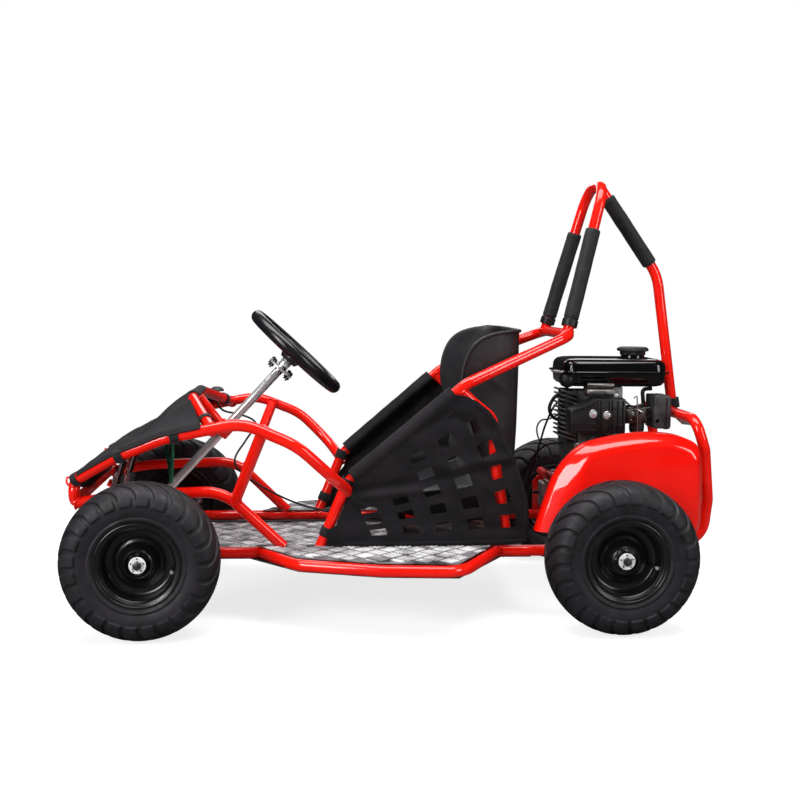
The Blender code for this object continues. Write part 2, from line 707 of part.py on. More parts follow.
MOUNT_Z = HANGER_TOP + GAP + TUBE
MOUNT_TOP = 0.281
mount = solid_tube("engine_mount", [(0.405, -0.205, MOUNT_Z), (0.405, 0.205, MOUNT_Z)],
                   TUBE, "red_paint")
rear_cross = solid_tube("mount_rear", [(0.560, -0.205, MOUNT_Z), (0.560, 0.205, MOUNT_Z)],
                        TUBE, "red_paint")
plate = box("mount_plate", (0.392, -0.095, 0.2735), (0.573, 0.095, MOUNT_TOP), "red_paint")
union(mount, rear_cross, plate)


# Engine: block with finned head, tank, muffler, carburettor with air box

HEAD_FRONT = 0.410
HEAD_BACK = 0.480
HEAD_LOW = 0.378
HEAD_HIGH = 0.499
FINS = 7


def head_outline():
    """The finned side of the cylinder head: a comb whose teeth point forward."""
    pitch = (HEAD_HIGH - HEAD_LOW) / (FINS - 0.5)
    points = [(HEAD_BACK, HEAD_LOW)]
    for i in range(FINS):
        low = HEAD_LOW + i * pitch
        points += [(HEAD_FRONT, low), (HEAD_FRONT, low + pitch / 2)]
        if i < FINS - 1:
            points += [(HEAD_FRONT + 0.022, low + pitch / 2), (HEAD_FRONT + 0.022, low + pitch)]
    points.append((HEAD_BACK, HEAD_HIGH))
    return list(reversed(points))


block = box("engine_block", (0.425, -0.085, MOUNT_TOP + GAP), (0.552, 0.085, 0.440), "alloy", 0.008)
head = sheet("cylinder_head", head_outline(), 0.090, "black_plastic")
upright(head, -0.025)
head = as_mesh(head, "black_plastic")
recoil = cylinder("recoil_housing", (CRANK_X, 0.102, CRANK_Z), (0, 1, 0), 0.072, 0.044, "alloy", 20)
crank = cylinder("crank_stub", (CRANK_X, -0.105, CRANK_Z), (0, 1, 0), 0.0090, 0.060, "alloy", 12)
tank_stay = box("tank_stay", (0.475, -0.070, 0.430), (0.545, 0.070, 0.5072), "alloy")
union(block, head, recoil, crank, tank_stay)

handle = box("recoil_handle", (0.430, 0.129, 0.404), (0.444, 0.143, 0.446), "black_plastic", 0.003)

TANK_LOW = 0.5075
TANK_SEAM = 0.541
TANK_HIGH = 0.573
TANK_CENTRE = Vector((0.5225, 0.000, 0.0))
TANK_HALF = Vector((0.1325, 0.093, 0.0))


def rounded_ring(half_x, half_y, corner, z, steps=3):
    """A level ring with rounded corners, about the tank's centre."""
    points = []
    for i, (sx, sy) in enumerate(((1, 1), (-1, 1), (-1, -1), (1, -1))):
        for j in range(steps + 1):
            angle = math.radians(90 * (i + j / steps))
            points.append((TANK_CENTRE.x + sx * (half_x - corner) + corner * math.cos(angle),
                           TANK_CENTRE.y + sy * (half_y - corner) + corner * math.sin(angle), z))
    return points


tank_rings = []
for inset, z in ((0.020, TANK_LOW), (0.009, TANK_LOW + 0.008), (0.007, TANK_SEAM - 0.002),
                 (0.0, TANK_SEAM - 0.002), (0.0, TANK_SEAM + 0.002), (0.007, TANK_SEAM + 0.002),
                 (0.010, TANK_HIGH - 0.010), (0.024, TANK_HIGH)):
    tank_rings.append(rounded_ring(TANK_HALF.x - inset, TANK_HALF.y - inset, 0.035 - inset, z))
tank = loft("fuel_tank", tank_rings, "black_paint")
CAP_X = 0.582
neck = cylinder("filler_neck", (CAP_X, 0.0, TANK_HIGH + 0.001), (0, 0, 1), 0.028, 0.010, "black_paint")
union(tank, neck)
cap = turned("fuel_cap", [(0.0, 0.0), (0.034, 0.0), (0.0405, -0.004), (0.0405, -0.014),
                          (0.034, -0.0195), (0.0, -0.0195)], "black_plastic", 20, closed=False)
cap.location = (CAP_X, 0.0, 0.5990)

guard = sheet("muffler", [(0.397, 0.406), (0.5255, 0.406), (0.5255, 0.490), (0.440, 0.490),
                          (0.397, 0.462)], 0.056, "black_paint")
upright(guard, -0.134)
guard = as_mesh(guard, "black_paint")
can = cylinder("muffler_can", (0.4735, -0.118, 0.4915), (1, 0, 0), 0.0195, 0.074, "alloy", 12)
pipe = cylinder("exhaust_pipe", (0.455, -0.096, 0.430), (0, 1, 0), 0.010, 0.0200, "alloy", 12)
union(guard, can, pipe)

air_box = box("air_box", (0.612, -0.095, 0.4064), (0.656, -0.015, 0.4887), "black_plastic", 0.006)
carburettor = box("carburettor", (0.5525, -0.075, 0.4180), (0.615, -0.030, 0.4620), "alloy", 0.003)
bowl = cylinder("float_bowl", (0.582, -0.052, 0.4100), (0, 0, 1), 0.018, 0.030, "alloy", 12)
union(air_box, carburettor, bowl)

PLUG_Y = -0.045
PLUG_LEAD = [(HEAD_FRONT - GAP, PLUG_Y, 0.4900), (0.400, PLUG_Y, 0.4900), (0.3820, PLUG_Y, 0.4790),
             (0.3710, PLUG_Y, 0.4550), (0.3780, PLUG_Y, 0.4340), (0.398, PLUG_Y, 0.4240),
             (HEAD_FRONT - GAP, PLUG_Y, 0.4240)]
tube("plug_lead", smooth_route(PLUG_LEAD, 12), 0.0042, "rubber", 8)


# Bucket seat: a shell lofted from the pan's front edge to the top of the back

SEAT_WALL = 0.005
WING_FLARE = 0.13
# Each station: x, z of the middle line, half width, wing length, and the wing's way
SEAT_STATIONS = [
    (-0.045, 0.252, 0.150, 0.010, 1.00),
    (0.000, 0.222, 0.165, 0.045, 1.00),
    (0.080, 0.205, 0.172, 0.075, 1.00),
    (0.180, 0.200, 0.178, 0.090, 0.90),
    (0.242, 0.225, 0.178, 0.105, 0.60),
    (0.268, 0.300, 0.178, 0.110, 0.25),
    (0.276, 0.400, 0.178, 0.105, 0.05),
    (0.279, 0.490, 0.178, 0.137, 0.00),
    (0.280, 0.545, 0.178, 0.140, 0.00),
    (0.280, 0.590, 0.177, 0.127, 0.00),
    (0.280, 0.618, 0.173, 0.104, 0.00),
    (0.280, 0.633, 0.166, 0.070, 0.00),
    (0.280, 0.640, 0.156, 0.026, 0.00),
]


def seat_row(x, z, half, wing, rise):
    """One section across the seat: flat middle, rounded corner, wing flared outward."""
    way = Vector((-(1 - rise), 0.0, rise)).normalized()
    row = []
    for share, climb in ((1.0 + WING_FLARE, 1.0), (1.0 + WING_FLARE / 2, 0.55), (0.97, 0.20),
                         (0.84, 0.04), (0.45, 0.0)):
        row.append(Vector((x, -half * share, z)) + way * (wing * climb))
    middle = [Vector((x, 0.0, z))]
    other = [Vector((point.x, -point.y, point.z)) for point in reversed(row)]
    return row + middle + other


seat = surface("seat", [seat_row(*station) for station in SEAT_STATIONS], SEAT_WALL, "black_plastic",
               offset=-1.0)
riser = box("seat_riser", (0.000, -0.110, RAIL_Z - TUBE), (0.024, 0.110, 0.2185), "black_plastic")
union(seat, riser)


# Side nets: a sheet with slots that fan out, sewn to a sleeve round the seat hoop

NET_THICKNESS = 0.0025
HOOP_LEAN = (SEAT_HOOP[2][1] - SEAT_HOOP[1][1]) / (SEAT_HOOP[2][2] - SEAT_HOOP[1][2])
NET_OFFSET = 0.0165
NET_FOOT_Y = SEAT_HOOP[1][1] - HOOP_LEAN * SEAT_HOOP[1][2] + NET_OFFSET
NET_OUTLINE = [(-0.162, 0.1640), (-0.158, 0.205), (-0.141, 0.213), (-0.125, 0.255), (-0.110, 0.274),
               (-0.101, 0.296), (-0.083, 0.332), (0.112, 0.499), (0.140, 0.494), (0.168, 0.479),
               (0.209, 0.421), (0.253, 0.352), (0.274, 0.300), (0.284, 0.245), (0.284, 0.190),
               (0.272, 0.170), (0.150, 0.165)]
SLEEVE_OUTER = 0.0195
SLEEVE_BORE = 0.0131
FAN_CENTRE = (-0.300, 0.178)
FAN_START = math.radians(4.6)
FAN_STEP = math.radians(6.2)
FAN_RADIUS = 0.242
FAN_PITCH = 0.0725
ROW_SHIFT = {0: 0.013, 1: 0.004}
# The photo shows five rows of slots in the left net and three in the right one
NET_ROWS = {"left": 5, "right": 3}
SLOT_HALF_LENGTH = 0.0175
SLOT_HALF_ANGLE = math.radians(1.65)


def net_slots(rows):
    """Slots on rays from a point ahead of the net; the upper rays miss the first two."""
    slots = []
    for row in range(rows):
        for ring in range(0 if row < 3 else 2, 5):
            angle = FAN_START + FAN_STEP * row
            radius = FAN_RADIUS + FAN_PITCH * ring + ROW_SHIFT.get(row, 0.0)
            slot = []
            for dr, da in ((-1, -1), (1, -1), (1, 1), (-1, 1)):
                r = radius + dr * SLOT_HALF_LENGTH
                a = angle + da * SLOT_HALF_ANGLE
                slot.append((FAN_CENTRE[0] + r * math.cos(a), FAN_CENTRE[1] + r * math.sin(a)))
            slots.append(slot)
    return slots


for side, sign in both_sides():
    net = sheet(f"side_net_{side}", NET_OUTLINE, NET_THICKNESS, "black_fabric",
                net_slots(NET_ROWS[side]))
    net.rotation_euler = (math.radians(90) - sign * math.atan(HOOP_LEAN), 0.0, 0.0)
    net.location = (0.0, sign * NET_FOOT_Y, 0.0)
    net = as_mesh(net, "black_fabric")
    low, high = (Vector(point) for point in mirrored(SEAT_HOOP[1:3], sign))
    sleeve = turned(f"net_sleeve_{side}", [(SLEEVE_OUTER, 1), (SLEEVE_OUTER, -1),
                                           (SLEEVE_BORE, -1), (SLEEVE_BORE, 1)], "black_fabric", 12)
    start, end = low.lerp(high, 0.13), low.lerp(high, 0.88)
    for vertex in sleeve.data.vertices:
        vertex.co.z *= (end - start).length / 2
    sleeve.location = (start + end) / 2
    aim(sleeve, end - start)
    union(net, sleeve)


# Nose cover: cloth from the nose bar over the arches and up the steering hoop

COVER_THICKNESS = 0.0018
COVER_COLUMNS = 9
TONGUE_COLUMNS = 4
LIP_COLUMNS = 7
# Each station: x and z of the middle line, and the x where the edge lies on the arch
COVER_STATIONS = [(-0.7070, 0.3215, -0.6980), (-0.6890, 0.3370, -0.6700), (-0.6590, 0.3560, -0.6370),
                  (-0.6260, 0.3710, -0.6030), (-0.5900, 0.3880, -0.5660), (-0.5650, 0.4080, -0.5370),
                  (-0.5330, 0.4360, -0.5080), (-0.5040, 0.4620, -0.4880), (-0.4860, 0.4840, -0.4740)]
HOOP_WRAP = TUBE + 0.0030
NOSE_WRAP = TUBE + 0.0030


def arch_top(x):
    """A point just above the right upper arch, at a given x."""
    for before, after in zip(UPPER_ARCH, UPPER_ARCH[1:]):
        if before.x <= x <= after.x:
            point = before.lerp(after, (x - before.x) / (after.x - before.x))
            return point + Vector((0.0, -0.004, TUBE + 0.0045))
    raise ValueError(x)


def cover_row(index):
    """Points across one station, with shallow folds between the middle and the edge."""
    x, z, edge_x = COVER_STATIONS[index]
    middle, edge = Vector((x, 0.0, z)), arch_top(edge_x)
    shoulder = Vector((x + 0.15 * (edge_x - x), 0.145, z - 0.10 * (z - edge.z)))
    fade = math.sin(math.pi * index / (len(COVER_STATIONS) - 1))
    half = []
    for i in range(COVER_COLUMNS + 1):
        share = i / COVER_COLUMNS
        if share < 0.5:
            point = middle.lerp(shoulder, share / 0.5)
        else:
            point = shoulder.lerp(edge, (share - 0.5) / 0.5)
        fold = 0.004 * abs(math.sin(2.6 * i + 1.1 * index)) * math.sin(math.pi * share)
        half.append(point + Vector((0.0, 0.0, fold * fade)))
    return [Vector((point.x, -point.y, point.z)) for point in reversed(half[1:])] + half


def wrapped(row, centre, radius, angle, columns):
    """A narrower row carried round a tube: None where the cloth does not reach."""
    x = centre.x + radius * math.cos(math.radians(angle))
    z = centre.z + radius * math.sin(math.radians(angle))
    reach = range(COVER_COLUMNS - columns, COVER_COLUMNS + columns + 1)
    return [Vector((x, point.y, z)) if i in reach else None for i, point in enumerate(row)]


cover_rows = [cover_row(i) for i in range(len(COVER_STATIONS))]
nose_top = Vector((NOSE_X, 0.0, NOSE_HIGH))
for angle in (140, 180):
    cover_rows.insert(0, wrapped(cover_rows[0], nose_top, NOSE_WRAP, angle, LIP_COLUMNS))
for angle in (118, 88, 58, 28):
    cover_rows.append(wrapped(cover_rows[-1], HOOP_TOP, HOOP_WRAP, angle, TONGUE_COLUMNS))

work = bmesh.new()
grid = [[point and work.verts.new(point) for point in row] for row in cover_rows]
for near, far in zip(grid, grid[1:]):
    for i in range(len(near) - 1):
        corners = (near[i], far[i], far[i + 1], near[i + 1])
        if all(corners):
            work.faces.new(corners)
cover = mesh_from("front_cover", work, "black_fabric")
smooth(cover.data)
cloth = cover.modifiers.new("thickness", "SOLIDIFY")
cloth.thickness = COVER_THICKNESS
cloth.offset = -1.0


# Rear fender on the left: a panel between engine and tyre with its rim turned inward

FENDER_OUTLINE = [(0.300, 0.200), (0.3205, 0.265), (0.3455, 0.3315), (0.3885, 0.382), (0.432, 0.403),
                  (0.5207, 0.419), (0.588, 0.419), (0.633, 0.409), (0.665, 0.389), (0.674, 0.342),
                  (0.676, 0.230), (0.670, 0.200)]
FENDER_OUT = -0.2870
FENDER_IN = -0.2330
FENDER_WALL = 0.003
FENDER_MIDDLE = Vector((0.500, 0.0, 0.290))


def fender_row(y, inset):
    """The outline at one depth, drawn in towards the middle except along its foot."""
    row = []
    for x, z in FENDER_OUTLINE:
        place = Vector((x, y, z))
        if z > 0.201:
            way = (FENDER_MIDDLE - place)
            way.y = 0.0
            place += way.normalized() * inset
        row.append(place)
    return row


edge = [fender_row(FENDER_IN, 0.0), fender_row(FENDER_OUT + 0.012, 0.0),
        fender_row(FENDER_OUT + 0.003, 0.004), fender_row(FENDER_OUT, 0.013)]
work = bmesh.new()
grid = [[work.verts.new(point) for point in row] for row in edge]
for near, far in zip(grid, grid[1:]):
    for i in range(len(near) - 1):
        work.faces.new((near[i], near[i + 1], far[i + 1], far[i]))
work.faces.new(grid[-1])
bmesh.ops.recalc_face_normals(work, faces=work.faces)
fender = mesh_from("fender_left", work, "red_plastic")
smooth(fender.data)
wall = fender.modifiers.new("wall", "SOLIDIFY")
wall.thickness = FENDER_WALL
wall.offset = -1.0
tab = box("fender_tab", (0.430, FENDER_OUT + 0.0015, 0.222),
          (0.500, -RAIL_Y - HANGER_HALF - GAP, 0.240), "red_plastic")
union(fender, tab)


# Pedals

PEDAL_BORE = 0.0097
PEDAL_TOP = Vector((-0.636, 0.0, 0.322))

for name, y in (("brake_pedal", -PEDAL_Y), ("throttle_pedal", PEDAL_Y)):
    hinge = Vector((PEDAL_X, y, PEDAL_Z))
    pedal = cylinder(name, hinge, (0, 1, 0), 0.0135, 0.030, "steel", 14)
    top = PEDAL_TOP + Vector((0, y, 0))
    stem = solid_tube(f"{name}_stem", [hinge + Vector((0.002, 0, 0.011)), top], 0.006, "steel")
    plate = box(f"{name}_plate", (-0.003, -0.026, -0.034), (0.003, 0.026, 0.034), "steel", 0.0015)
    plate.location = top + Vector((0.004, 0, -0.014))
    plate.rotation_euler = (0, math.radians(18), 0)
    union(pedal, stem, plate)
    cut(pedal, cylinder(f"{name}_bore", hinge, (0, 1, 0), PEDAL_BORE, 0.06, "steel", 14))


# Kill switch on the right arch, with its button and lead

SWITCH = Vector((-0.4430, 0.3120, 0.4250))
switch = cylinder("kill_switch", SWITCH + Vector((0, 0, 0.016)), (0, 0, 1), 0.0150, 0.030,
                  "red_plastic", 16)
cope(switch, UPPER_ARCH)
button = turned("kill_button", [(0.0, 0.0), (0.010, -0.0015), (0.0165, -0.006), (0.0180, -0.0125),
                                (0.0, -0.0125)], "black_plastic", 16, closed=False)
button.location = SWITCH + Vector((0, 0, 0.0480))

KILL_LEAD = [(-0.4430, 0.2967, 0.4470), (-0.4430, 0.2890, 0.4470), (-0.436, 0.2780, 0.4250),
             (-0.420, 0.268, 0.4120), (-0.385, 0.262, 0.4050), (-0.350, 0.262, 0.3920),
             (-0.340, 0.258, 0.3740), (-0.3650, 0.250, 0.3370), (-0.3900, 0.200, 0.2900),
             (-0.3500, 0.190, 0.2450), (-0.250, 0.190, 0.1900), (-0.150, 0.190, 0.1600),
             (-0.050, 0.190, 0.1440), (0.150, 0.188, 0.1440), (0.300, 0.186, 0.1700),
             (0.345, 0.180, 0.2400), (0.365, 0.120, 0.3100), (0.385, 0.060, 0.3500),
             (0.410, 0.0600, 0.3560), (0.4247, 0.0600, 0.3560)]
tube("kill_lead", smooth_route(KILL_LEAD, 26), 0.0026, "rubber", 6)


# Throttle and brake cables, held along the floor

THROTTLE_CABLE = [(-0.6440, 0.1000, 0.1950), (-0.620, 0.1000, 0.1950), (-0.585, 0.115, 0.1950),
                  (-0.550, 0.115, 0.1900), (-0.500, 0.130, 0.165), (-0.430, 0.150, 0.144),
                  (-0.200, 0.172, 0.1405), (0.100, 0.172, 0.1405), (0.300, 0.165, 0.160),
                  (0.350, 0.165, 0.210), (0.372, 0.160, 0.280), (0.385, 0.130, 0.345),
                  (0.395, 0.105, 0.400), (0.420, 0.098, 0.452), (0.470, 0.100, 0.472),
                  (0.560, 0.080, 0.474), (0.580, 0.030, 0.460), (0.580, -0.015, 0.4500),
                  (0.580, -0.0297, 0.4500)]
tube("throttle_cable", smooth_route(THROTTLE_CABLE, 26), 0.0026, "rubber", 6)

BRAKE_CABLE = [(-0.6440, -0.1000, 0.1950), (-0.620, -0.1000, 0.1950), (-0.585, -0.115, 0.1950),
               (-0.550, -0.115, 0.1900), (-0.500, -0.130, 0.165), (-0.430, -0.140, 0.144),
               (-0.200, -0.140, 0.1405), (0.100, -0.135, 0.1405), (0.250, -0.100, 0.1410),
               (0.320, 0.000, 0.1450), (0.350, 0.110, 0.1700), (0.362, 0.1300, 0.210),
               (0.370, 0.1300, 0.220), (0.3847, 0.1300, 0.220)]
tube("brake_cable", smooth_route(BRAKE_CABLE, 22), 0.0026, "rubber", 6)
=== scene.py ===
# %% [markdown]
# # A small petrol go-kart, built up from its CAD frame
#
# The CAD solids of the kart are already exact: every tube, wheel and engine part is in its place.
# What they lack is the finish of the real thing: round tubes with weld beads, lugs on the tyres,
# a moulded seat, cloth with folds, and an engine with fins and bolts. This file adds those.
# The kart faces -X, the driver's left is -Y, and it stands on z = 0. All sizes are in metres.

# %% Load the CAD frame
import math
import bmesh
import bpy
from mathutils import Matrix, Vector, noise


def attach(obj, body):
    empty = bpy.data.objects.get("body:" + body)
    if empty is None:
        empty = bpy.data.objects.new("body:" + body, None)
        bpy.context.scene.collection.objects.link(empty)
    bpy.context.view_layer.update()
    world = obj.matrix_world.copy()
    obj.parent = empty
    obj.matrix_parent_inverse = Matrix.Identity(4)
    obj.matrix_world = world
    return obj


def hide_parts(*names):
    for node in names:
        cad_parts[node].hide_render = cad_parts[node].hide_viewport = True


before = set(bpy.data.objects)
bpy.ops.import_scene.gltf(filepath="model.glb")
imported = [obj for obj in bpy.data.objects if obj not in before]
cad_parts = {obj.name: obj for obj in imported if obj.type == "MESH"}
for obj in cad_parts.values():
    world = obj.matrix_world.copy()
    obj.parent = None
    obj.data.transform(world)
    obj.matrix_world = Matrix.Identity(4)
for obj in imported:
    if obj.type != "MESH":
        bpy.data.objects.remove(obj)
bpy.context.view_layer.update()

# %% [markdown]
# ## Camera
#
# The photograph was taken from the driver's left, a little above the kart and slightly ahead of
# its middle. The place and turn of the camera were worked out from the wheels and the frame.

# %% Camera
bpy.ops.object.camera_add(location=(-0.199, -2.722, 0.7215))
camera = bpy.context.object
camera.data.lens = 51.43
camera.data.sensor_width = 36.0
yaw, pitch, roll = math.radians(4.529), math.radians(5.314), math.radians(0.625)
forward = Vector((math.sin(yaw) * math.cos(pitch), math.cos(yaw) * math.cos(pitch), -math.sin(pitch)))
right = Vector((math.cos(yaw), -math.sin(yaw), 0.0))
above = right.cross(forward)
turned_right = math.cos(roll) * right + math.sin(roll) * above
turned_above = -math.sin(roll) * right + math.cos(roll) * above
turn = Matrix((turned_right, turned_above, -forward)).transposed()
camera.matrix_world = Matrix.Translation(camera.location) @ turn.to_4x4()
bpy.context.scene.camera = camera
bpy.context.scene.view_settings.view_transform = "Standard"
print("camera at", [round(v, 3) for v in camera.location])

# %% [markdown]
# ## Floor and light
#
# The photograph is a cut-out on white. A wide pale floor keeps the kart's soft shadow, and the
# world is plain white wherever the camera or glass looks at it, and dim in reflections. Large soft
# lamps above, in front and behind give the long pale streaks that gloss paint shows.

# %% Floor
WHITE = (1, 1, 1, 1)


def add_node(tree, kind, inputs=(), operation=None):
    """A new shader node. Each input is set to a value or linked to another node's socket."""
    node = tree.nodes.new("ShaderNode" + kind)
    if operation:
        node.operation = operation
    for key, value in dict(inputs).items():
        if isinstance(value, bpy.types.NodeSocket):
            tree.links.new(value, node.inputs[key])
        else:
            node.inputs[key].default_value = value
    return node


def studio_white(shade, glow, near, far):
    """A pale surface that keeps soft shadows near the kart and fades to pure white around it."""
    material = bpy.data.materials.new("studio_white")
    material.use_nodes = True
    tree = material.node_tree
    tree.nodes.clear()
    rays = add_node(tree, "LightPath").outputs
    # Painted shade in reflections: glossy rays see the floor at a fifth of its tone, so gloss paint reflects
    # a darker floor
    tone = add_node(tree, "MapRange", {"Value": rays["Is Glossy Ray"], "To Min": shade,
                                       "To Max": shade * 0.2})
    diffuse = add_node(tree, "BsdfDiffuse", {"Color": tone.outputs["Result"]})
    strength = add_node(tree, "Math", {0: rays["Is Camera Ray"], 1: glow}, "MULTIPLY")
    close = add_node(tree, "Emission", {"Strength": strength.outputs[0]})
    both = add_node(tree, "AddShader", {0: diffuse.outputs[0], 1: close.outputs[0]})
    place = add_node(tree, "TexCoord").outputs["Object"]
    reach = add_node(tree, "VectorMath", {0: place}, "LENGTH")
    fade = add_node(tree, "MapRange", {"Value": reach.outputs["Value"], "From Min": near,
                                       "From Max": far})
    fade.interpolation_type = "SMOOTHSTEP"
    far_off = add_node(tree, "Math", {0: fade.outputs["Result"], 1: rays["Is Camera Ray"]}, "MULTIPLY")
    white = add_node(tree, "Emission")
    mix = add_node(tree, "MixShader", {0: far_off.outputs[0], 1: both.outputs[0], 2: white.outputs[0]})
    add_node(tree, "OutputMaterial", {"Surface": mix.outputs[0]})
    return material


bpy.ops.mesh.primitive_plane_add(size=30, location=(0, 0, -0.0005))
floor = bpy.context.object
floor.name = "studio_floor"
floor.data.materials.append(studio_white(0.40, 0.78, 1.0, 2.6))

# %% World and lamps
world = bpy.data.worlds.new("studio")
bpy.context.scene.world = world
world.use_nodes = True
tree = world.node_tree
tree.nodes.clear()
rays = add_node(tree, "LightPath").outputs
seen = add_node(tree, "Math", {0: rays["Is Camera Ray"], 1: rays["Is Transmission Ray"]}, "MAXIMUM")
dim = add_node(tree, "MapRange", {"Value": rays["Is Glossy Ray"], "To Min": 0.17, "To Max": 0.02})
lit = add_node(tree, "Background", {"Color": WHITE, "Strength": dim.outputs["Result"]})
plain = add_node(tree, "Background", {"Color": WHITE, "Strength": 1.0})
mix = add_node(tree, "MixShader", {0: seen.outputs[0], 1: lit.outputs[0], 2: plain.outputs[0]})
add_node(tree, "OutputWorld", {"Surface": mix.outputs[0]})


def soft_lamp(name, place, target, width, height, power):
    """A large soft box that faces a point on the kart."""
    bpy.ops.object.light_add(type="AREA", location=place)
    lamp = bpy.context.object
    lamp.name = name
    lamp.data.shape = "RECTANGLE"
    lamp.data.size = width
    lamp.data.size_y = height
    lamp.data.energy = power
    way = Vector(target) - Vector(place)
    lamp.rotation_euler = way.to_track_quat("-Z", "Y").to_euler()


soft_lamp("overhead", (-0.2, -0.5, 3.0), (0, 0, 0.3), 3.4, 1.5, 115)
soft_lamp("left_front", (-2.4, -2.6, 1.6), (-0.2, 0, 0.3), 1.3, 1.7, 84)
soft_lamp("left_rear", (2.5, -2.2, 1.5), (0.3, 0, 0.3), 0.9, 1.5, 32)
soft_lamp("behind", (0.4, 3.0, 2.2), (0, 0, 0.4), 3.0, 1.2, 26)

# %% [markdown]
# ## Working by hand, in code
#
# These helpers do what a modeller does with the mouse: pick a piece, edit its points, apply its
# modifiers and its place, cut and join pieces. A finished piece sits at the origin with its place
# in its mesh, as the CAD nodes do, so patterns made from object coordinates stay where they are.

# %% Selecting, applying and joining
def pick(*pieces):
    """Select just these pieces, the first of them active."""
    bpy.ops.object.select_all(action="DESELECT")
    for piece in pieces:
        piece.select_set(True)
    bpy.context.view_layer.objects.active = pieces[0]


def edit(piece, kind="VERT", action="SELECT"):
    """Go into a piece's edit mode, with all of its points or faces selected or none of them."""
    pick(piece)
    bpy.ops.object.mode_set(mode="EDIT")
    bpy.ops.mesh.select_mode(type=kind)
    bpy.ops.mesh.select_all(action=action)


def leave_edit():
    bpy.ops.mesh.select_mode(type="VERT")
    bpy.ops.object.mode_set(mode="OBJECT")


def settle(piece):
    """Apply a piece's modifiers and its place."""
    pick(piece)
    for modifier in list(piece.modifiers):
        bpy.ops.object.modifier_apply(modifier=modifier.name)
    bpy.ops.object.transform_apply(location=True, rotation=True, scale=True)
    return piece


def joined(*pieces):
    """Make one piece out of several."""
    for piece in pieces:
        settle(piece)
    pick(*pieces)
    if len(pieces) > 1:
        bpy.ops.object.join()
    return bpy.context.object


def smooth(piece, angle=35):
    pick(piece)
    bpy.ops.object.shade_smooth_by_angle(angle=math.radians(angle))
    return piece


def outward(piece, merge=0.00001):
    """Merge doubled points and turn every face to the outside."""
    edit(piece)
    bpy.ops.mesh.remove_doubles(threshold=merge)
    bpy.ops.mesh.normals_make_consistent(inside=False)
    leave_edit()


def bevelled(piece, width, segments=2, angle=30):
    """Round the hard edges of a piece."""
    modifier = piece.modifiers.new("edges", "BEVEL")
    modifier.width = width
    modifier.segments = segments
    modifier.limit_method = "ANGLE"
    modifier.angle_limit = math.radians(angle)
    return settle(piece)


def cut(piece, *cutters):
    """Take the cutters out of a piece."""
    cutter = joined(*cutters)
    hole = piece.modifiers.new("hole", "BOOLEAN")
    hole.object = cutter
    hole.solver = "EXACT"
    settle(piece)
    bpy.data.objects.remove(cutter)
    return piece


def dressed(piece, name, body, finish, slot, *nodes):
    """Name a finished piece, give it its material and body, and hide the CAD nodes it stands for."""
    settle(piece)
    piece.name = name
    piece.data.name = name
    piece.data.materials.clear()
    piece.data.materials.append(finish)
    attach(piece, body)
    if nodes:
        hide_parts(*nodes)


# %% [markdown]
# A turned part starts as a line of points in the plane through its axis. One point is extruded
# from corner to corner, as by hand, and the line is then spun about the axis.

# %% Turned parts
def aimed(piece, place, direction):
    """Stand a piece, made about its own Z axis, at a place and along a direction."""
    turn = Vector((0, 0, 1)).rotation_difference(Vector(direction).normalized())
    piece.matrix_world = Matrix.Translation(Vector(place)) @ turn.to_matrix().to_4x4()
    return settle(piece)


def lathe(profile, place, direction, steps=64, angle=35):
    """Spin a line of (radius, height) points about Z, then aim the piece.

    A line that starts off the axis is closed into a ring.
    """
    if profile[0][0] > 0:
        profile = [*profile, profile[0]]
    bpy.ops.mesh.primitive_plane_add(size=0.001)
    piece = bpy.context.object
    edit(piece)
    bpy.ops.mesh.merge(type="CENTER")
    here = Vector((profile[0][0], 0, profile[0][1]))
    bpy.ops.transform.translate(value=here)
    for radius, height in profile[1:]:
        there = Vector((radius, 0, height))
        bpy.ops.mesh.extrude_vertices_move(TRANSFORM_OT_translate={"value": there - here})
        here = there
    bpy.ops.mesh.select_all(action="SELECT")
    bpy.ops.mesh.spin(steps=steps, angle=2 * math.pi, center=(0, 0, 0), axis=(0, 0, 1),
                      use_auto_merge=True)
    leave_edit()
    outward(piece)
    return smooth(aimed(piece, place, direction), angle)


# %% [markdown]
# Bars, plates and bolts are needed all over the kart, so each kind is modelled once here.
# A bolt is a hexagonal head with its edges taken off, a washer under it and a round end.

# %% Boxes, bars and bolts
def block(low, high, edge=0.001, segments=2):
    """A box between two corners with rounded edges."""
    low, high = Vector(low), Vector(high)
    bpy.ops.mesh.primitive_cube_add(size=1, location=(low + high) / 2)
    piece = bpy.context.object
    piece.scale = high - low
    settle(piece)
    return smooth(bevelled(piece, edge, segments))


def rod(start, end, radius, sides=20, edge=0.0005):
    """A round bar between two points, with its ends' edges taken off."""
    start, end = Vector(start), Vector(end)
    bpy.ops.mesh.primitive_cylinder_add(vertices=sides, radius=radius, depth=(end - start).length)
    piece = aimed(bpy.context.object, (start + end) / 2, end - start)
    return smooth(bevelled(piece, edge, 2))


def bolt(place, direction, across=0.010, head=0.0045, washer=True):
    """A hexagon bolt whose washer lies on a face at a place, its head along a direction."""
    bpy.ops.mesh.primitive_cylinder_add(vertices=6, radius=across * 0.577, depth=head,
                                        location=(0, 0, head / 2 + 0.0012))
    piece = bevelled(bpy.context.object, across * 0.06, 2)
    if washer:
        bpy.ops.mesh.primitive_cylinder_add(vertices=24, radius=across * 0.95, depth=0.0013,
                                            location=(0, 0, 0.00065))
        piece = joined(piece, bevelled(bpy.context.object, 0.0003, 1))
    bpy.ops.mesh.primitive_cylinder_add(vertices=12, radius=across * 0.28, depth=0.002,
                                        location=(0, 0, head + 0.0018))
    piece = joined(piece, bpy.context.object)
    return smooth(aimed(piece, place, direction))


# %% [markdown]
# ## Bent tubes
#
# The frame is made of 25 mm steel tube, bent cold round formers and welded. A tube is a curve with
# a round bevel, made a mesh. Its corners repeat those of the CAD part, with finer arcs.

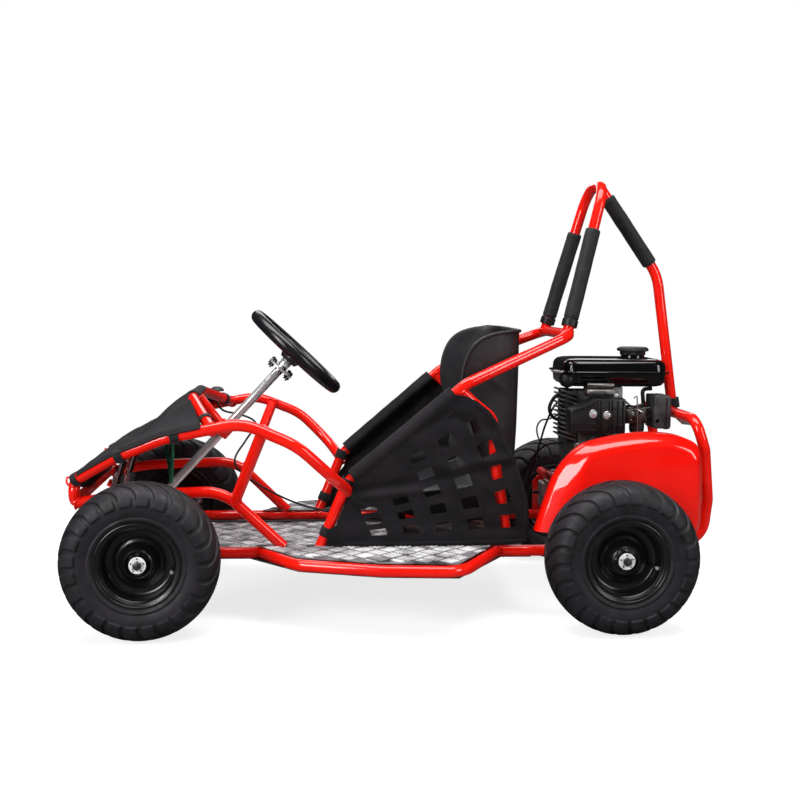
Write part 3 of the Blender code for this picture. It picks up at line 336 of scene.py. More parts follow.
# %% Bent tubes
TUBE, ARC_STEP = 0.0125, 7.0


def bend(corners, radius):
    """Points along straight runs joined by arcs of the given radius."""
    corners = [Vector(corner) for corner in corners]
    points = [corners[0]]
    for before, corner, after in zip(corners, corners[1:], corners[2:]):
        inward = (before - corner).normalized()
        onward = (after - corner).normalized()
        turn = math.pi - inward.angle(onward)
        if turn < math.radians(1):
            points.append(corner)
            continue
        room = 0.48 * min((before - corner).length, (after - corner).length)
        run = min(radius * math.tan(turn / 2), room)
        centre = corner + (inward + onward).normalized() * (run / math.sin(turn / 2))
        start = corner + inward * run - centre
        end = corner + onward * run - centre
        count = max(2, math.ceil(math.degrees(turn) / ARC_STEP))
        for i in range(count + 1):
            share = i / count
            arc = start * math.sin((1 - share) * turn) + end * math.sin(share * turn)
            points.append(centre + arc / math.sin(turn))
    points.append(corners[-1])
    return points


def tube(points, radius=TUBE, sides=20, closed=False):
    """A round tube along points, as a mesh with its ends closed."""
    bpy.ops.curve.primitive_bezier_curve_add()
    piece = bpy.context.object
    curve = piece.data
    curve.splines.clear()
    spline = curve.splines.new("POLY")
    spline.points.add(len(points) - 1)
    for point, place in zip(spline.points, points):
        point.co = (*place, 1.0)
    spline.use_cyclic_u = closed
    curve.bevel_depth = radius
    curve.bevel_resolution = (sides - 4) // 2
    curve.use_fill_caps = not closed
    pick(piece)
    bpy.ops.object.convert(target="MESH")
    piece = bpy.context.object
    outward(piece)
    return smooth(piece, 40)


def mirrored(path):
    return [Vector((point[0], -point[1], point[2])) for point in path]


def u_shape(half):
    """All corners of a symmetric tube, from those of its right half, end to middle."""
    return mirrored(half) + [Vector(corner) for corner in reversed(half)]


def nearest(point, path):
    """The nearest point of a path, and the path's direction there."""
    best = None
    for a, b in zip(path, path[1:]):
        a, b = Vector(a), Vector(b)
        along = (b - a).normalized()
        reach = min(max((point - a).dot(along), 0.0), (b - a).length)
        spot = a + along * reach
        gap = (point - spot).length
        if best is None or gap < best[0]:
            best = (gap, spot, along)
    return best[1], best[2]


def weld(branch, path, end=0):
    """The bead where a tube's end meets the side of another: a ripple that follows the joint."""
    tip, inner = (branch[0], branch[1]) if end == 0 else (branch[-1], branch[-2])
    tip, inner = Vector(tip), Vector(inner)
    spot, along = nearest(tip, path)
    way = (tip - inner).normalized()
    side = way.orthogonal().normalized()
    other = way.cross(side)
    points = []
    for i in range(40):
        angle = 2 * math.pi * i / 40
        start = inner + TUBE * (math.cos(angle) * side + math.sin(angle) * other)
        gap = start - spot
        a = way - along * way.dot(along)
        b = gap - along * gap.dot(along)
        qa, qb, qc = a.dot(a), 2 * a.dot(b), b.dot(b) - TUBE * TUBE
        under = qb * qb - 4 * qa * qc
        t = (-qb - math.sqrt(under)) / (2 * qa) if under > 0 else -qb / (2 * qa)
        points.append(start + way * t)
    bead = tube(points, 0.0024, 8, closed=True)
    for vertex in bead.data.vertices:
        ripple = noise.noise(vertex.co * 420.0)
        vertex.co += vertex.normal * 0.0009 * ripple
    return bead

# %% [markdown]
# ## Finishes
#
# Each finish is a Principled shader with its own fine pattern: orange peel in gloss paint, pores in
# foam, a weave in cloth, a grain in moulded plastic. Patterns read object coordinates in metres, so
# a scale of 500 means details about 2 mm across.

# %% Helpers for finishes
def pattern(material, scale, detail=None, stretch=(1, 1, 1)):
    """Noise in object coordinates, or cells where no detail is given. Returns its value socket."""
    tree = material.node_tree
    place = tree.nodes["place"].outputs["Object"]
    mapping = add_node(tree, "Mapping", {"Vector": place, "Scale": stretch})
    inputs = {"Vector": mapping.outputs["Vector"], "Scale": scale}
    if detail is None:
        return add_node(tree, "TexVoronoi", inputs).outputs["Distance"]
    return add_node(tree, "TexNoise", {**inputs, "Detail": detail}).outputs["Fac"]


def vary_colour(material, value, dark, light, low=0.35, high=0.65):
    """Shade the base colour between two tones by a pattern."""
    tree = material.node_tree
    ramp = add_node(tree, "ValToRGB", {"Fac": value})
    for stop, position, tone in zip(ramp.color_ramp.elements, (low, high), (dark, light)):
        stop.position = position
        stop.color = (*tone, 1.0)
    tree.links.new(ramp.outputs["Color"], tree.nodes["Principled BSDF"].inputs["Base Color"])


def vary_roughness(material, value, low, high):
    """Let the roughness follow a pattern, between two values."""
    tree = material.node_tree
    spread = add_node(tree, "MapRange", {"Value": value, "From Min": 0.3, "From Max": 0.7,
                                         "To Min": low, "To Max": high})
    tree.links.new(spread.outputs["Result"], tree.nodes["Principled BSDF"].inputs["Roughness"])


def add_relief(material, value, depth, strength):
    """Bump from a pattern; a second relief lies on top of the first."""
    tree = material.node_tree
    bump = add_node(tree, "Bump", {"Distance": depth, "Strength": strength, "Height": value})
    normal = tree.nodes["Principled BSDF"].inputs["Normal"]
    if normal.links:
        tree.links.new(normal.links[0].from_socket, bump.inputs["Normal"])
    tree.links.new(bump.outputs["Normal"], normal)


def weave(material, pitch, depth):
    """Two crossing sets of threads, over and under, as a relief in the sheet's own flat places."""
    tree = material.node_tree
    flat = tree.nodes["place"].outputs["UV"]
    threads = []
    for direction in ("X", "Y"):
        wave = add_node(tree, "TexWave", {"Vector": flat, "Scale": math.pi / (10 * pitch),
                                          "Distortion": 0.6, "Detail Scale": 2.0})
        wave.wave_type = "BANDS"
        wave.bands_direction = direction
        threads.append(wave.outputs["Fac"])
    over = add_node(tree, "Math", {0: threads[0], 1: threads[1]}, "MULTIPLY")
    add_relief(material, over.outputs[0], depth, 0.6)


def finish(name, colour, roughness, tones=None, uneven=None, reliefs=(), metallic=0.0, coat=0.0,
           sheen=0.0, gloss=0.3, threads=None):
    """One Principled material: its tones of colour, the spread of its roughness and its reliefs."""
    material = bpy.data.materials.new(name)
    material.use_nodes = True
    tree = material.node_tree
    values = {"Base Color": (*colour, 1.0), "Roughness": roughness, "Metallic": metallic,
              "Coat Weight": coat, "Coat Roughness": 0.04, "Sheen Weight": sheen,
              "Sheen Roughness": 0.5, "Specular IOR Level": gloss}
    for key, value in values.items():
        tree.nodes["Principled BSDF"].inputs[key].default_value = value
    add_node(tree, "TexCoord").name = "place"
    if tones:
        vary_colour(material, pattern(material, *tones[0]), *tones[1:])
    if uneven:
        vary_roughness(material, pattern(material, *uneven[0]), *uneven[1:])
    if threads:
        weave(material, *threads)
    for grain, depth, strength in reliefs:
        add_relief(material, pattern(material, *grain), depth, strength)
    return material


# %% Paints
RED = (0.97, 0.0015, 0.0006)
red_paint = finish("red_paint", RED, 0.30, ((14, 3), (0.84, 0.006, 0.002), (0.96, 0.011, 0.003)),
                   reliefs=[((650, 2), 0.00010, 0.25)], coat=0.9, gloss=0.12)
red_plastic = finish("red_plastic", RED, 0.30, ((7, 2), (0.92, 0.004, 0.001), (1.00, 0.008, 0.002)),
                     reliefs=[((22, 2), 0.0008, 0.12), ((900, 1), 0.00006, 0.15)], coat=1.0, gloss=0.12)
black_paint = finish("black_paint", (0.003, 0.003, 0.0035), 0.10, uneven=((40, 3), 0.10, 0.20),
                     reliefs=[((600, 2), 0.00004, 0.10)], coat=0.8, gloss=0.1)
rim_paint = finish("rim_paint", (0.004, 0.004, 0.0045), 0.34, uneven=((40, 3), 0.28, 0.42),
                   reliefs=[((600, 2), 0.00005, 0.2)], coat=0.5, gloss=0.5)
heat_paint = finish("heat_paint", (0.006, 0.006, 0.007), 0.42,
                    ((60, 4), (0.004, 0.004, 0.005), (0.010, 0.009, 0.010)),
                    reliefs=[((1400, 2), 0.00012, 0.5)], gloss=0.5)

# %% Rubbers, plastics and foam
tyre_rubber = finish("tyre_rubber", (0.010, 0.0085, 0.0112), 0.55,
                     ((30, 5), (0.007, 0.006, 0.008), (0.015, 0.012, 0.0165)), ((90, 3), 0.48, 0.72),
                     [((1100, 3), 0.00025, 0.5)], gloss=0.40)
cable_rubber = finish("cable_rubber", (0.012, 0.012, 0.013), 0.42, uneven=((120, 2), 0.34, 0.52),
                      reliefs=[((1500, 1), 0.00008, 0.4)])
grip_rubber = finish("grip_rubber", (0.008, 0.007, 0.009), 0.26, uneven=((70, 3), 0.20, 0.32),
                     reliefs=[((900,), 0.00004, 0.2)], gloss=0.5)
foam_skin = finish("foam_skin", (0.010, 0.010, 0.011), 0.62,
                   ((45, 4), (0.007, 0.007, 0.008), (0.014, 0.014, 0.015)),
                   reliefs=[((900,), 0.00035, 0.6), ((120, 3), 0.0008, 0.25)], sheen=0.08)
seat_plastic = finish("seat_plastic", (0.017, 0.015, 0.018), 0.42,
                      ((11, 3), (0.013, 0.012, 0.014), (0.022, 0.020, 0.023)), ((60, 3), 0.36, 0.54),
                      [((520,), 0.00022, 0.45)])
black_plastic = finish("black_plastic", (0.012, 0.011, 0.013), 0.38,
                       ((35, 3), (0.009, 0.008, 0.010), (0.018, 0.017, 0.019)),
                       reliefs=[((1300,), 0.00012, 0.4)])
grey_plastic = finish("grey_plastic", (0.042, 0.040, 0.044), 0.38,
                      ((40, 3), (0.030, 0.028, 0.032), (0.060, 0.057, 0.062)),
                      reliefs=[((1100,), 0.00015, 0.5)])
green_sleeve = finish("green_sleeve", (0.010, 0.120, 0.060), 0.45,
                      ((60, 3), (0.008, 0.09, 0.045), (0.014, 0.15, 0.08)))

# %% Cloth
black_cloth = finish("black_cloth", (0.0080, 0.0066, 0.0085), 0.70,
                     ((20, 4), (0.0060, 0.0050, 0.0065), (0.0115, 0.0095, 0.0122)),
                     reliefs=[((55, 3), 0.0012, 0.20)], sheen=0.04, gloss=0.2, threads=(0.0011, 0.00030))
webbing = finish("webbing", (0.007, 0.007, 0.008), 0.75,
                 ((200, 2), (0.005, 0.005, 0.006), (0.012, 0.012, 0.013)),
                 reliefs=[((900, 1, (1, 1, 3)), 0.0003, 0.8)], sheen=0.1)

# %% Metals
chrome = finish("chrome", (0.94, 0.94, 0.95), 0.22, uneven=((60, 2), 0.15, 0.22),
                reliefs=[((200, 1), 0.00002, 0.10)], metallic=0.72, gloss=0.5)
# Painted reflection: zinc made near-white and mostly diffuse, so the washers look as bright as plated steel
# that mirrors a white studio; the pale grey is the zinc's own.
pale_zinc_painted_reflection = finish("pale_zinc_painted_reflection", (0.90, 0.90, 0.91), 0.30,
                     ((90, 3), (0.80, 0.80, 0.81), (0.95, 0.95, 0.96)),
                     reliefs=[((900, 2), 0.00005, 0.4)], metallic=0.12, gloss=0.5)
zinc = finish("zinc", (0.62, 0.62, 0.64), 0.30, ((70, 4), (0.50, 0.50, 0.52), (0.72, 0.72, 0.74)),
              ((260, 2), 0.22, 0.42), [((900, 2), 0.00006, 0.4)], metallic=1.0)
dark_steel = finish("dark_steel", (0.16, 0.155, 0.15), 0.42,
                    ((90, 4), (0.10, 0.095, 0.09), (0.24, 0.23, 0.22)),
                    reliefs=[((700, 2), 0.00010, 0.5)], metallic=1.0)
engine_alloy = finish("engine_alloy", (0.13, 0.13, 0.135), 0.40,
                      ((30, 4), (0.045, 0.045, 0.048), (0.20, 0.20, 0.205)),
                      reliefs=[((750, 3), 0.00030, 0.7)], metallic=0.6)
cast_alloy = finish("cast_alloy", (0.50, 0.50, 0.51), 0.46,
                    ((25, 4), (0.40, 0.40, 0.41), (0.60, 0.60, 0.61)),
                    reliefs=[((750, 3), 0.00030, 0.7)], metallic=0.75)
plate_alloy = finish("plate_alloy", (0.12, 0.115, 0.12), 0.36,
                     ((22, 5), (0.04, 0.038, 0.04), (0.26, 0.25, 0.26), 0.40, 0.60),
                     ((150, 3), 0.26, 0.46), [((500, 2, (1, 6, 1)), 0.00008, 0.5)], metallic=0.3)
lug_alloy = finish("lug_alloy", (0.86, 0.86, 0.88), 0.30,
                   ((22, 5), (0.36, 0.35, 0.36), (0.92, 0.92, 0.94), 0.40, 0.58),
                   reliefs=[((600, 2), 0.00006, 0.4)], metallic=0.1, gloss=0.5)
brushed_disc = finish("brushed_disc", (0.55, 0.55, 0.56), 0.32, uneven=((60, 3, (1, 8, 1)), 0.22, 0.40),
                      reliefs=[((400, 1, (1, 5, 1)), 0.00006, 0.5)], metallic=1.0)
print("finishes:", len(bpy.data.materials))

# %% [markdown]
# ## The frame's tubes
#
# The corners below are the CAD part's. Each tube is welded to the next with a small bead. The
# left side is the right side mirrored, each with its own mesh.

# %% Paths of the tubes
RAIL_Y, RAIL_Z = 0.214, 0.1475
NOSE_X, NOSE_HALF, NOSE_LOW, NOSE_HIGH = -0.7065, 0.232, 0.265, 0.305

RAIL = [Vector((-0.5325, RAIL_Y, RAIL_Z)), Vector((0.405, RAIL_Y, RAIL_Z))]
SIDE_BAR = bend([(-0.307, 0.216, RAIL_Z), (-0.225, 0.338, RAIL_Z), (-0.050, 0.396, RAIL_Z),
                 (0.118, 0.409, RAIL_Z), (0.2225, 0.216, RAIL_Z)], 0.06)
UPPER_ARCH = bend([(-0.7060, 0.2340, 0.3120), (-0.611, 0.282, 0.3690), (-0.505, 0.312, 0.4135),
                   (-0.340, 0.320, 0.4475), (-0.225, 0.336, 0.4010), (-0.150, 0.310, 0.3290),
                   (-0.1175, 0.2360, 0.2920)], 0.12)
LOWER_ARCH = bend([(-0.7040, 0.2290, 0.2620), (-0.600, 0.225, 0.278), (-0.388, 0.225, 0.286),
                   (-0.2560, 0.2150, 0.1600)], 0.10)
STRUT = [Vector((-0.361, 0.226, 0.266)), Vector((-0.2980, 0.3140, 0.4280))]
HOOP_TOP = Vector((-0.464, 0.0, 0.479))
HOOP_LEG = [(-0.4080, 0.3040, 0.4350), (HOOP_TOP.x, 0.110, HOOP_TOP.z)]
STEERING_HOOP = bend(u_shape(HOOP_LEG), 0.10)
SEAT_HOOP_LEG = [(-0.1750, 0.2160, 0.1580), (-0.116, 0.229, 0.305), (0.143, 0.250, 0.527),
                 (0.395, 0.152, 0.632)]
SEAT_HOOP = bend(u_shape(SEAT_HOOP_LEG), 0.05)
SEAT_CRADLE = bend(u_shape([(0.1300, 0.2470, 0.5120), (0.162, 0.242, 0.482), (0.203, 0.237, 0.450),
                            (0.214, 0.226, 0.340), (0.245, 0.214, 0.1728)]), 0.04)
ROLL_FOOT = Vector((0.392, 0.125, 0.6380))
ROLL_SHOULDER = Vector((0.482, 0.078, 0.981))
ROLL_HOOP = bend(u_shape([ROLL_FOOT, ROLL_SHOULDER]), 0.065)
BRACE_TOP, BRACE_CORNER = Vector((0.486, 0.0, 0.986)), Vector((0.6365, 0.0, 0.773))
BRACE_FOOT = Vector((0.6850, 0.0, 0.4480))
ROLL_BRACE = bend([BRACE_TOP, BRACE_CORNER, BRACE_FOOT], 0.12)
REAR_LOOP = bend(u_shape([(0.5783, 0.210, 0.165), (0.698, 0.202, 0.165), (0.7095, 0.200, 0.260),
                          (0.699, 0.200, 0.375), (0.678, 0.195, 0.443)]), 0.05)


def nose_loop():
    """A flat loop on its side: two straights joined by half circles."""
    corner = (NOSE_HIGH - NOSE_LOW) / 2
    points = []
    for half in (1, -1):
        for i in range(13):
            angle = math.radians(15 * i - 90)
            points.append(Vector((NOSE_X, half * (NOSE_HALF - corner + corner * math.cos(angle)),
                                  NOSE_LOW + corner * (1 + half * math.sin(angle)))))
    return points


NOSE_LOOP = nose_loop()
SIDES = (("left", -1.0), ("right", 1.0))


def on_side(path, sign):
    """A path of the right side, or its mirror image for the left."""
    return [Vector(point) for point in path] if sign > 0 else mirrored(path)


print("tube paths ready")

# %% Weld them up
def welded(name, tubes, beads, *nodes):
    """Join tubes and weld beads into one painted piece."""
    dressed(joined(*tubes, *beads), name, "frame", red_paint, "red_paint", *nodes)


welded("nose_bar", [tube(NOSE_LOOP, closed=True)], [], "nose_bumper")
UPPER_BUSH = Vector((-0.4009, 0, 0.3977))
COLUMN_AXIS = Vector((math.cos(math.radians(47.5)), 0, math.sin(math.radians(47.5))))
hoop_lug = rod(HOOP_TOP, UPPER_BUSH, 0.011)
bush = lathe([(0.0113, -0.017), (0.0185, -0.017), (0.0190, -0.0165), (0.0190, 0.0165),
              (0.0185, 0.017), (0.0113, 0.017)], UPPER_BUSH, COLUMN_AXIS, 40)
arch_welds = [weld(STEERING_HOOP, on_side(UPPER_ARCH, -1)), weld(STEERING_HOOP, UPPER_ARCH, -1)]
welded("steering_hoop_tube", [tube(STEERING_HOOP), hoop_lug, bush], arch_welds, "steering_hoop")
welded("seat_hoop_tube", [tube(SEAT_HOOP)],
       [weld(SEAT_HOOP, on_side(RAIL, -1)), weld(SEAT_HOOP, RAIL, -1)], "seat_hoop")
welded("seat_cradle_tube", [tube(SEAT_CRADLE)],
       [weld(SEAT_CRADLE, SEAT_HOOP), weld(SEAT_CRADLE, SEAT_HOOP, -1)], "seat_cradle")
welded("roll_hoop_tube", [tube(ROLL_HOOP), tube(ROLL_BRACE)],
       [weld(ROLL_HOOP, SEAT_HOOP), weld(ROLL_HOOP, SEAT_HOOP, -1), weld(ROLL_BRACE, REAR_LOOP, -1)],
       "roll_cage")
welded("rear_loop_tube", [tube(REAR_LOOP)], [], "rear_loop")

for side, sign in SIDES:
    arch, lower = on_side(UPPER_ARCH, sign), on_side(LOWER_ARCH, sign)
    strut, rail, bar = on_side(STRUT, sign), on_side(RAIL, sign), on_side(SIDE_BAR, sign)
    welded(f"upper_arch_tube_{side}", [tube(arch)],
           [weld(arch, NOSE_LOOP), weld(arch, SEAT_HOOP, -1)], f"upper_arch_{side}")
    welded(f"lower_arch_tube_{side}", [tube(lower), tube(strut)],
           [weld(lower, NOSE_LOOP), weld(lower, rail, -1), weld(strut, lower), weld(strut, arch, -1)],
           f"lower_arch_{side}")
    welded(f"side_bar_tube_{side}", [tube(bar)], [weld(bar, rail), weld(bar, rail, -1)],
           f"side_bar_{side}")
print("frame tubes welded")

# %% [markdown]
# ## Floor rails and the rear axle's bearings
#
# Each rail ends in a flat hanger plate. The plate carries a round housing for the rear axle, with
# a flange held by three bolts. A short weld bead joins the plate to the rail.

# %% Floor rails
AXLE = Vector((0.468, 0.0, 0.165))
HANGER_HALF = 0.004


def slab(outline, y, half, edge=0.0008):
    """A flat plate in the XZ plane, from its outline, as thick as twice the half."""
    bpy.ops.mesh.primitive_circle_add(vertices=len(outline), radius=1, fill_type="NGON")
    piece = bpy.context.object
    for vertex, (x, z) in zip(piece.data.vertices, outline):
        vertex.co = (x, y - half, z)
    edit(piece)
    bpy.ops.mesh.extrude_region_move(TRANSFORM_OT_translate={"value": (0, 2 * half, 0)})
    leave_edit()
    outward(piece)
    return smooth(bevelled(piece, edge, 2)) if edge else piece


def bearing_housing(y, outer):
    """A pressed housing round the axle, its flange on the plate's outer face."""
    profile = [(0.0135, -0.0125), (0.031, -0.0125), (0.0335, -0.010), (0.0338, -0.003),
               (0.0338, 0.003), (0.0335, 0.010), (0.031, 0.0125), (0.024, 0.0130), (0.0205, 0.0112),
               (0.0135, 0.0112)]
    return lathe(profile, (AXLE.x, y, AXLE.z), (0, outer, 0), 48)


for side, sign in SIDES:
    y = sign * RAIL_Y
    rail = tube(on_side(RAIL, sign))
    plate = slab([(0.386, 0.1365), (0.576, 0.1365), (0.5775, 0.150), (0.5775, 0.235), (0.566, 0.2495),
                  (0.397, 0.2495), (0.3855, 0.235)], y, HANGER_HALF)
    housing = bearing_housing(y, sign)
    bolts = []
    for angle in (30, 150, 270):
        way = math.radians(angle)
        spot = (AXLE.x + 0.0275 * math.cos(way), y + sign * 0.0117, AXLE.z + 0.0275 * math.sin(way))
        bolts.append(bolt(spot, (0, sign, 0), 0.008, 0.0035))
    seam = [Vector((x, y + sign * 0.0035, RAIL_Z + 0.0128)) for x in (0.388, 0.392, 0.398, 0.404)]
    welded(f"floor_rail_tube_{side}", [rail, plate, housing], [tube(seam, 0.0022, 8)],
           f"floor_rail_{side}")
    dressed(joined(*bolts), f"bearing_bolts_{side}", "frame", zinc, "steel")
print("floor rails with bearing housings")

# %% [markdown]
# ## Foam pads
#
# The roll cage wears sleeves of closed foam. Each is a turned tube with a bulge between its ends
# and fine dents.

# %% Foam pads
def foam_sleeve(name, start, end, node):
    """A foam sleeve between two points, softly uneven, with its ends squeezed."""
    half, radius, bore = (end - start).length / 2, 0.0180, 0.0131
    outline = [(bore, -half), (radius - 0.0035, -half), (radius - 0.0012, -half + 0.0012),
               (radius, -half + 0.005)]
    outline += [(radius, -half + 0.005 + (2 * half - 0.010) * i / 60) for i in range(1, 60)]
    outline += [(radius, half - 0.005), (radius - 0.0012, half - 0.0012), (radius - 0.0035, half),
                (bore, half)]
    centre, way = (start + end) / 2, (end - start).normalized()
    piece = lathe(outline, centre, way, 48)
    for vertex in piece.data.vertices:
        away = vertex.co - centre
        away -= way * away.dot(way)
        if away.length > bore + 0.001:
            dent = noise.noise(vertex.co * 26) * 0.0006 + noise.noise(vertex.co * 90) * 0.00025
            vertex.co += away.normalized() * (dent - 0.0005)
    dressed(piece, name, "frame", foam_skin, "foam", node)


for side, sign in SIDES:
    foot, shoulder = on_side([ROLL_FOOT, ROLL_SHOULDER], sign)
    foam_sleeve(f"roll_pad_foam_{side}", foot.lerp(shoulder, 0.085), foot.lerp(shoulder, 0.690),
                f"roll_pad_{side}")
foam_sleeve("brace_pad_foam", BRACE_TOP.lerp(BRACE_CORNER, 0.150),
            BRACE_TOP.lerp(BRACE_CORNER, 0.880), "brace_pad")

# %% Leg collars
# A short black collar stands between each leg's pad and the seat hoop.
for side, sign in SIDES:
    foot, shoulder = on_side([ROLL_FOOT, ROLL_SHOULDER], sign)
    way = (shoulder - foot).normalized()
    collar = lathe([(TUBE + 0.0003, -0.0085), (0.0176, -0.0085), (0.0184, -0.0075),
                    (0.0184, 0.0075), (0.0176, 0.0085), (TUBE + 0.0003, 0.0085)],
                   foot + way * 0.0212, way, 48)
    dressed(collar, f"leg_collar_{side}", "frame", black_plastic, "black_plastic")
print("foam pads")

# %% [markdown]
# ## Tyres
#
# A tyre is a turned carcass. Each lug is a patch of its faces, inset and pushed out, so its walls
# slope as in a mould. Then every point turns about the axle by an amount that grows from the
# shoulder to the middle of the tread, which bends the rows of lugs into arrows.

# %% One tyre
FRONT_HUB, OUTWARD = Vector((-0.548, -0.360, 0.165)), (0, -1, 0)
LUGS, LUG_COLUMNS, GROOVE_COLUMNS = 24, 8, 2
HALF_TREAD = 0.0575
SHOULDER = [(0.1240, 0.0590), (0.1300, 0.0582), (0.1370, 0.0560), (0.1430, 0.0528), (0.1485, 0.0482),
            (0.1528, 0.0425), (0.1562, 0.0350), (0.1585, 0.0262), (0.1600, 0.0160), (0.1606, 0.0070),
            (0.1607, 0.0000)]
SIDEWALL = [(0.0796, 0.0425), (0.0850, 0.0478), (0.0905, 0.0515), (0.0945, 0.0548), (0.0972, 0.0562),
            (0.0996, 0.0556), (0.1015, 0.0548), (0.1060, 0.0566), (0.1130, 0.0584), (0.1195, 0.0591)]
INSIDE = [(0.0796, 0.0345), (0.1100, 0.0480), (0.1380, 0.0470), (0.1480, 0.0300), (0.1500, 0.0)]


def flipped(points):
    return [(radius, -height) for radius, height in reversed(points)]


def lug_faces(mesh, side):
    """The faces of the carcass, on one side of its middle, where the lugs stand."""
    columns = LUGS * LUG_COLUMNS
    found = []
    for face in mesh.faces:
        middle = face.calc_center_median()
        radius, height = math.hypot(middle.x, middle.y), middle.z * side
        column = int(math.atan2(middle.y, middle.x) / (2 * math.pi) * columns + 2 * columns)
        shift = 0 if side > 0 else LUG_COLUMNS // 2
        on_tread = radius > 0.1242 and height > 0 and face.normal.dot(middle) > 0
        if on_tread and (column + shift) % LUG_COLUMNS >= GROOVE_COLUMNS:
            found.append(face)
    return found


def raise_lugs(piece, side):
    """Inset the lugs of one side and push them out."""
    edit(piece, "FACE", "DESELECT")
    mesh = bmesh.from_edit_mesh(piece.data)
    for face in lug_faces(mesh, side):
        face.select_set(True)
    bmesh.update_edit_mesh(piece.data)
    bpy.ops.mesh.inset(thickness=0.0010, depth=0.0043, use_boundary=True, use_even_offset=True)
    leave_edit()


def tyre_in_place():
    """The front left tyre."""
    carcass = SIDEWALL + SHOULDER + flipped(SHOULDER[:-1]) + flipped(SIDEWALL)
    hollow = [(radius, -height) for radius, height in INSIDE[:-1]] + list(reversed(INSIDE))
    piece = lathe(carcass + hollow, (0, 0, 0), (0, 0, 1), LUGS * LUG_COLUMNS)
    raise_lugs(piece, 1)
    raise_lugs(piece, -1)
    bevelled(piece, 0.0008, 2, 38)
    for vertex in piece.data.vertices:
        share = min(max((HALF_TREAD - abs(vertex.co.z)) / HALF_TREAD, 0.0), 1.0)
        if math.hypot(vertex.co.x, vertex.co.y) > 0.115 and share > 0:
            turn = Matrix.Rotation(math.radians(19) * share ** 1.25, 3, "Z")
            vertex.co = turn @ vertex.co
    smooth(piece, 32)
    print("tyre faces", len(piece.data.polygons))
    return aimed(piece, FRONT_HUB, OUTWARD)


def copied(piece, offset=(0, 0, 0), flip=False):
    """A copy with its own mesh, shifted, or mirrored to the other side of the kart."""
    pick(piece)
    bpy.ops.object.duplicate()
    twin = bpy.context.object
    if flip:
        twin.scale.y = -1
        settle(twin)
    twin.location = offset
    settle(twin)
    if flip:
        outward(twin, 0.0000001)
    return twin


WHEELBASE = Vector((AXLE.x - FRONT_HUB.x, 0, 0))
WHEELS = (("front", "left", False, Vector()), ("front", "right", True, Vector()),
          ("rear", "left", False, WHEELBASE), ("rear", "right", True, WHEELBASE))


def on_every_wheel(piece, name, finish, slot, node=None):
    """Copy a piece of the front left wheel to the other three and dress all four."""
    copies = [copied(piece, offset, flip) for end, side, flip, offset in WHEELS[1:]]
    for twin, (end, side, flip, offset) in zip([piece] + copies, WHEELS):
        body = f"front_wheel_{side}" if end == "front" else "rear_wheels"
        nodes = [f"{end}_{node}_{side}"] if node else []
        dressed(twin, f"{name}_{end}_{side}", body, finish, slot, *nodes)


on_every_wheel(tyre_in_place(), "lugged_tyre", tyre_rubber, "tyre", "tyre")

# %% [markdown]
# ## Rims and hubs
#
# The rim is a deep turned dish: a rolled lip with two steps, a straight barrel, a disc with a round
# swelling, and a hub that ends in a cup round the nut. A rubber valve stem stands in the disc.

# %% Rims
rim_line = [(0.0885, 0.0520), (0.0882, 0.0534), (0.0870, 0.0540), (0.0852, 0.0537), (0.0842, 0.0526),
            (0.0838, 0.0508), (0.0826, 0.0500), (0.0800, 0.0497), (0.0788, 0.0490), (0.0782, 0.0476),
            (0.0776, 0.0450), (0.0762, 0.0436), (0.0748, 0.0420), (0.0738, 0.0390), (0.0732, 0.0300),
            (0.0728, 0.0200), (0.0716, 0.0130), (0.0690, 0.0092), (0.0650, 0.0080), (0.0560, 0.0082),
            (0.0535, 0.0090), (0.0510, 0.0112), (0.0485, 0.0128), (0.0450, 0.0136), (0.0420, 0.0156),
            (0.0390, 0.0205), (0.0355, 0.0270), (0.0320, 0.0330), (0.0298, 0.0362), (0.0284, 0.0372),
            (0.0270, 0.0368), (0.0262, 0.0350), (0.0255, 0.0315), (0.0235, 0.0300), (0.0140, 0.0300),
            (0.0127, 0.0294), (0.0127, -0.0336), (0.0225, -0.0340), (0.0232, -0.0100),
            (0.0300, 0.0040), (0.0500, 0.0030), (0.0700, 0.0010), (0.0716, -0.0300),
            (0.0726, -0.0440), (0.0760, -0.0480), (0.0842, -0.0500), (0.0852, -0.0537),
            (0.0870, -0.0540), (0.0885, -0.0525), (0.0880, -0.0500), (0.0790, -0.0438),
            (0.0780, -0.0425), (0.0780, 0.0425), (0.0790, 0.0438), (0.0880, 0.0500)]
rim = lathe(rim_line, FRONT_HUB, OUTWARD, 128, 40)
on_every_wheel(rim, "dished_rim", rim_paint, "black_paint", "rim")


def wheel_point(radius, angle, height):
    """A place on the front left wheel: angle from the rear, towards the top, height outward."""
    way = math.radians(angle)
    return FRONT_HUB + Vector((radius * math.cos(way), -height, radius * math.sin(way)))


stem = rod(wheel_point(0.0640, -14, 0.0080), wheel_point(0.0690, -14, 0.0300), 0.0032, 16)
foot = lathe([(0, 0.002), (0.0050, 0.002), (0.0062, 0.0), (0.0062, -0.001), (0, -0.001)],
             wheel_point(0.0640, -14, 0.0095), OUTWARD, 24)
on_every_wheel(joined(stem, foot), "valve_stem", cable_rubber, "rubber")
cap = rod(wheel_point(0.0689, -14, 0.0295), wheel_point(0.0706, -14, 0.0370), 0.0036, 16, 0.0008)
on_every_wheel(cap, "valve_cap", chrome, "chrome")

# %% [markdown]
# A washer, a slotted nut and its split pin close each hub. They turn with the nut of the axle end.

# %% Hub nuts
HUB_FACE = 0.0442


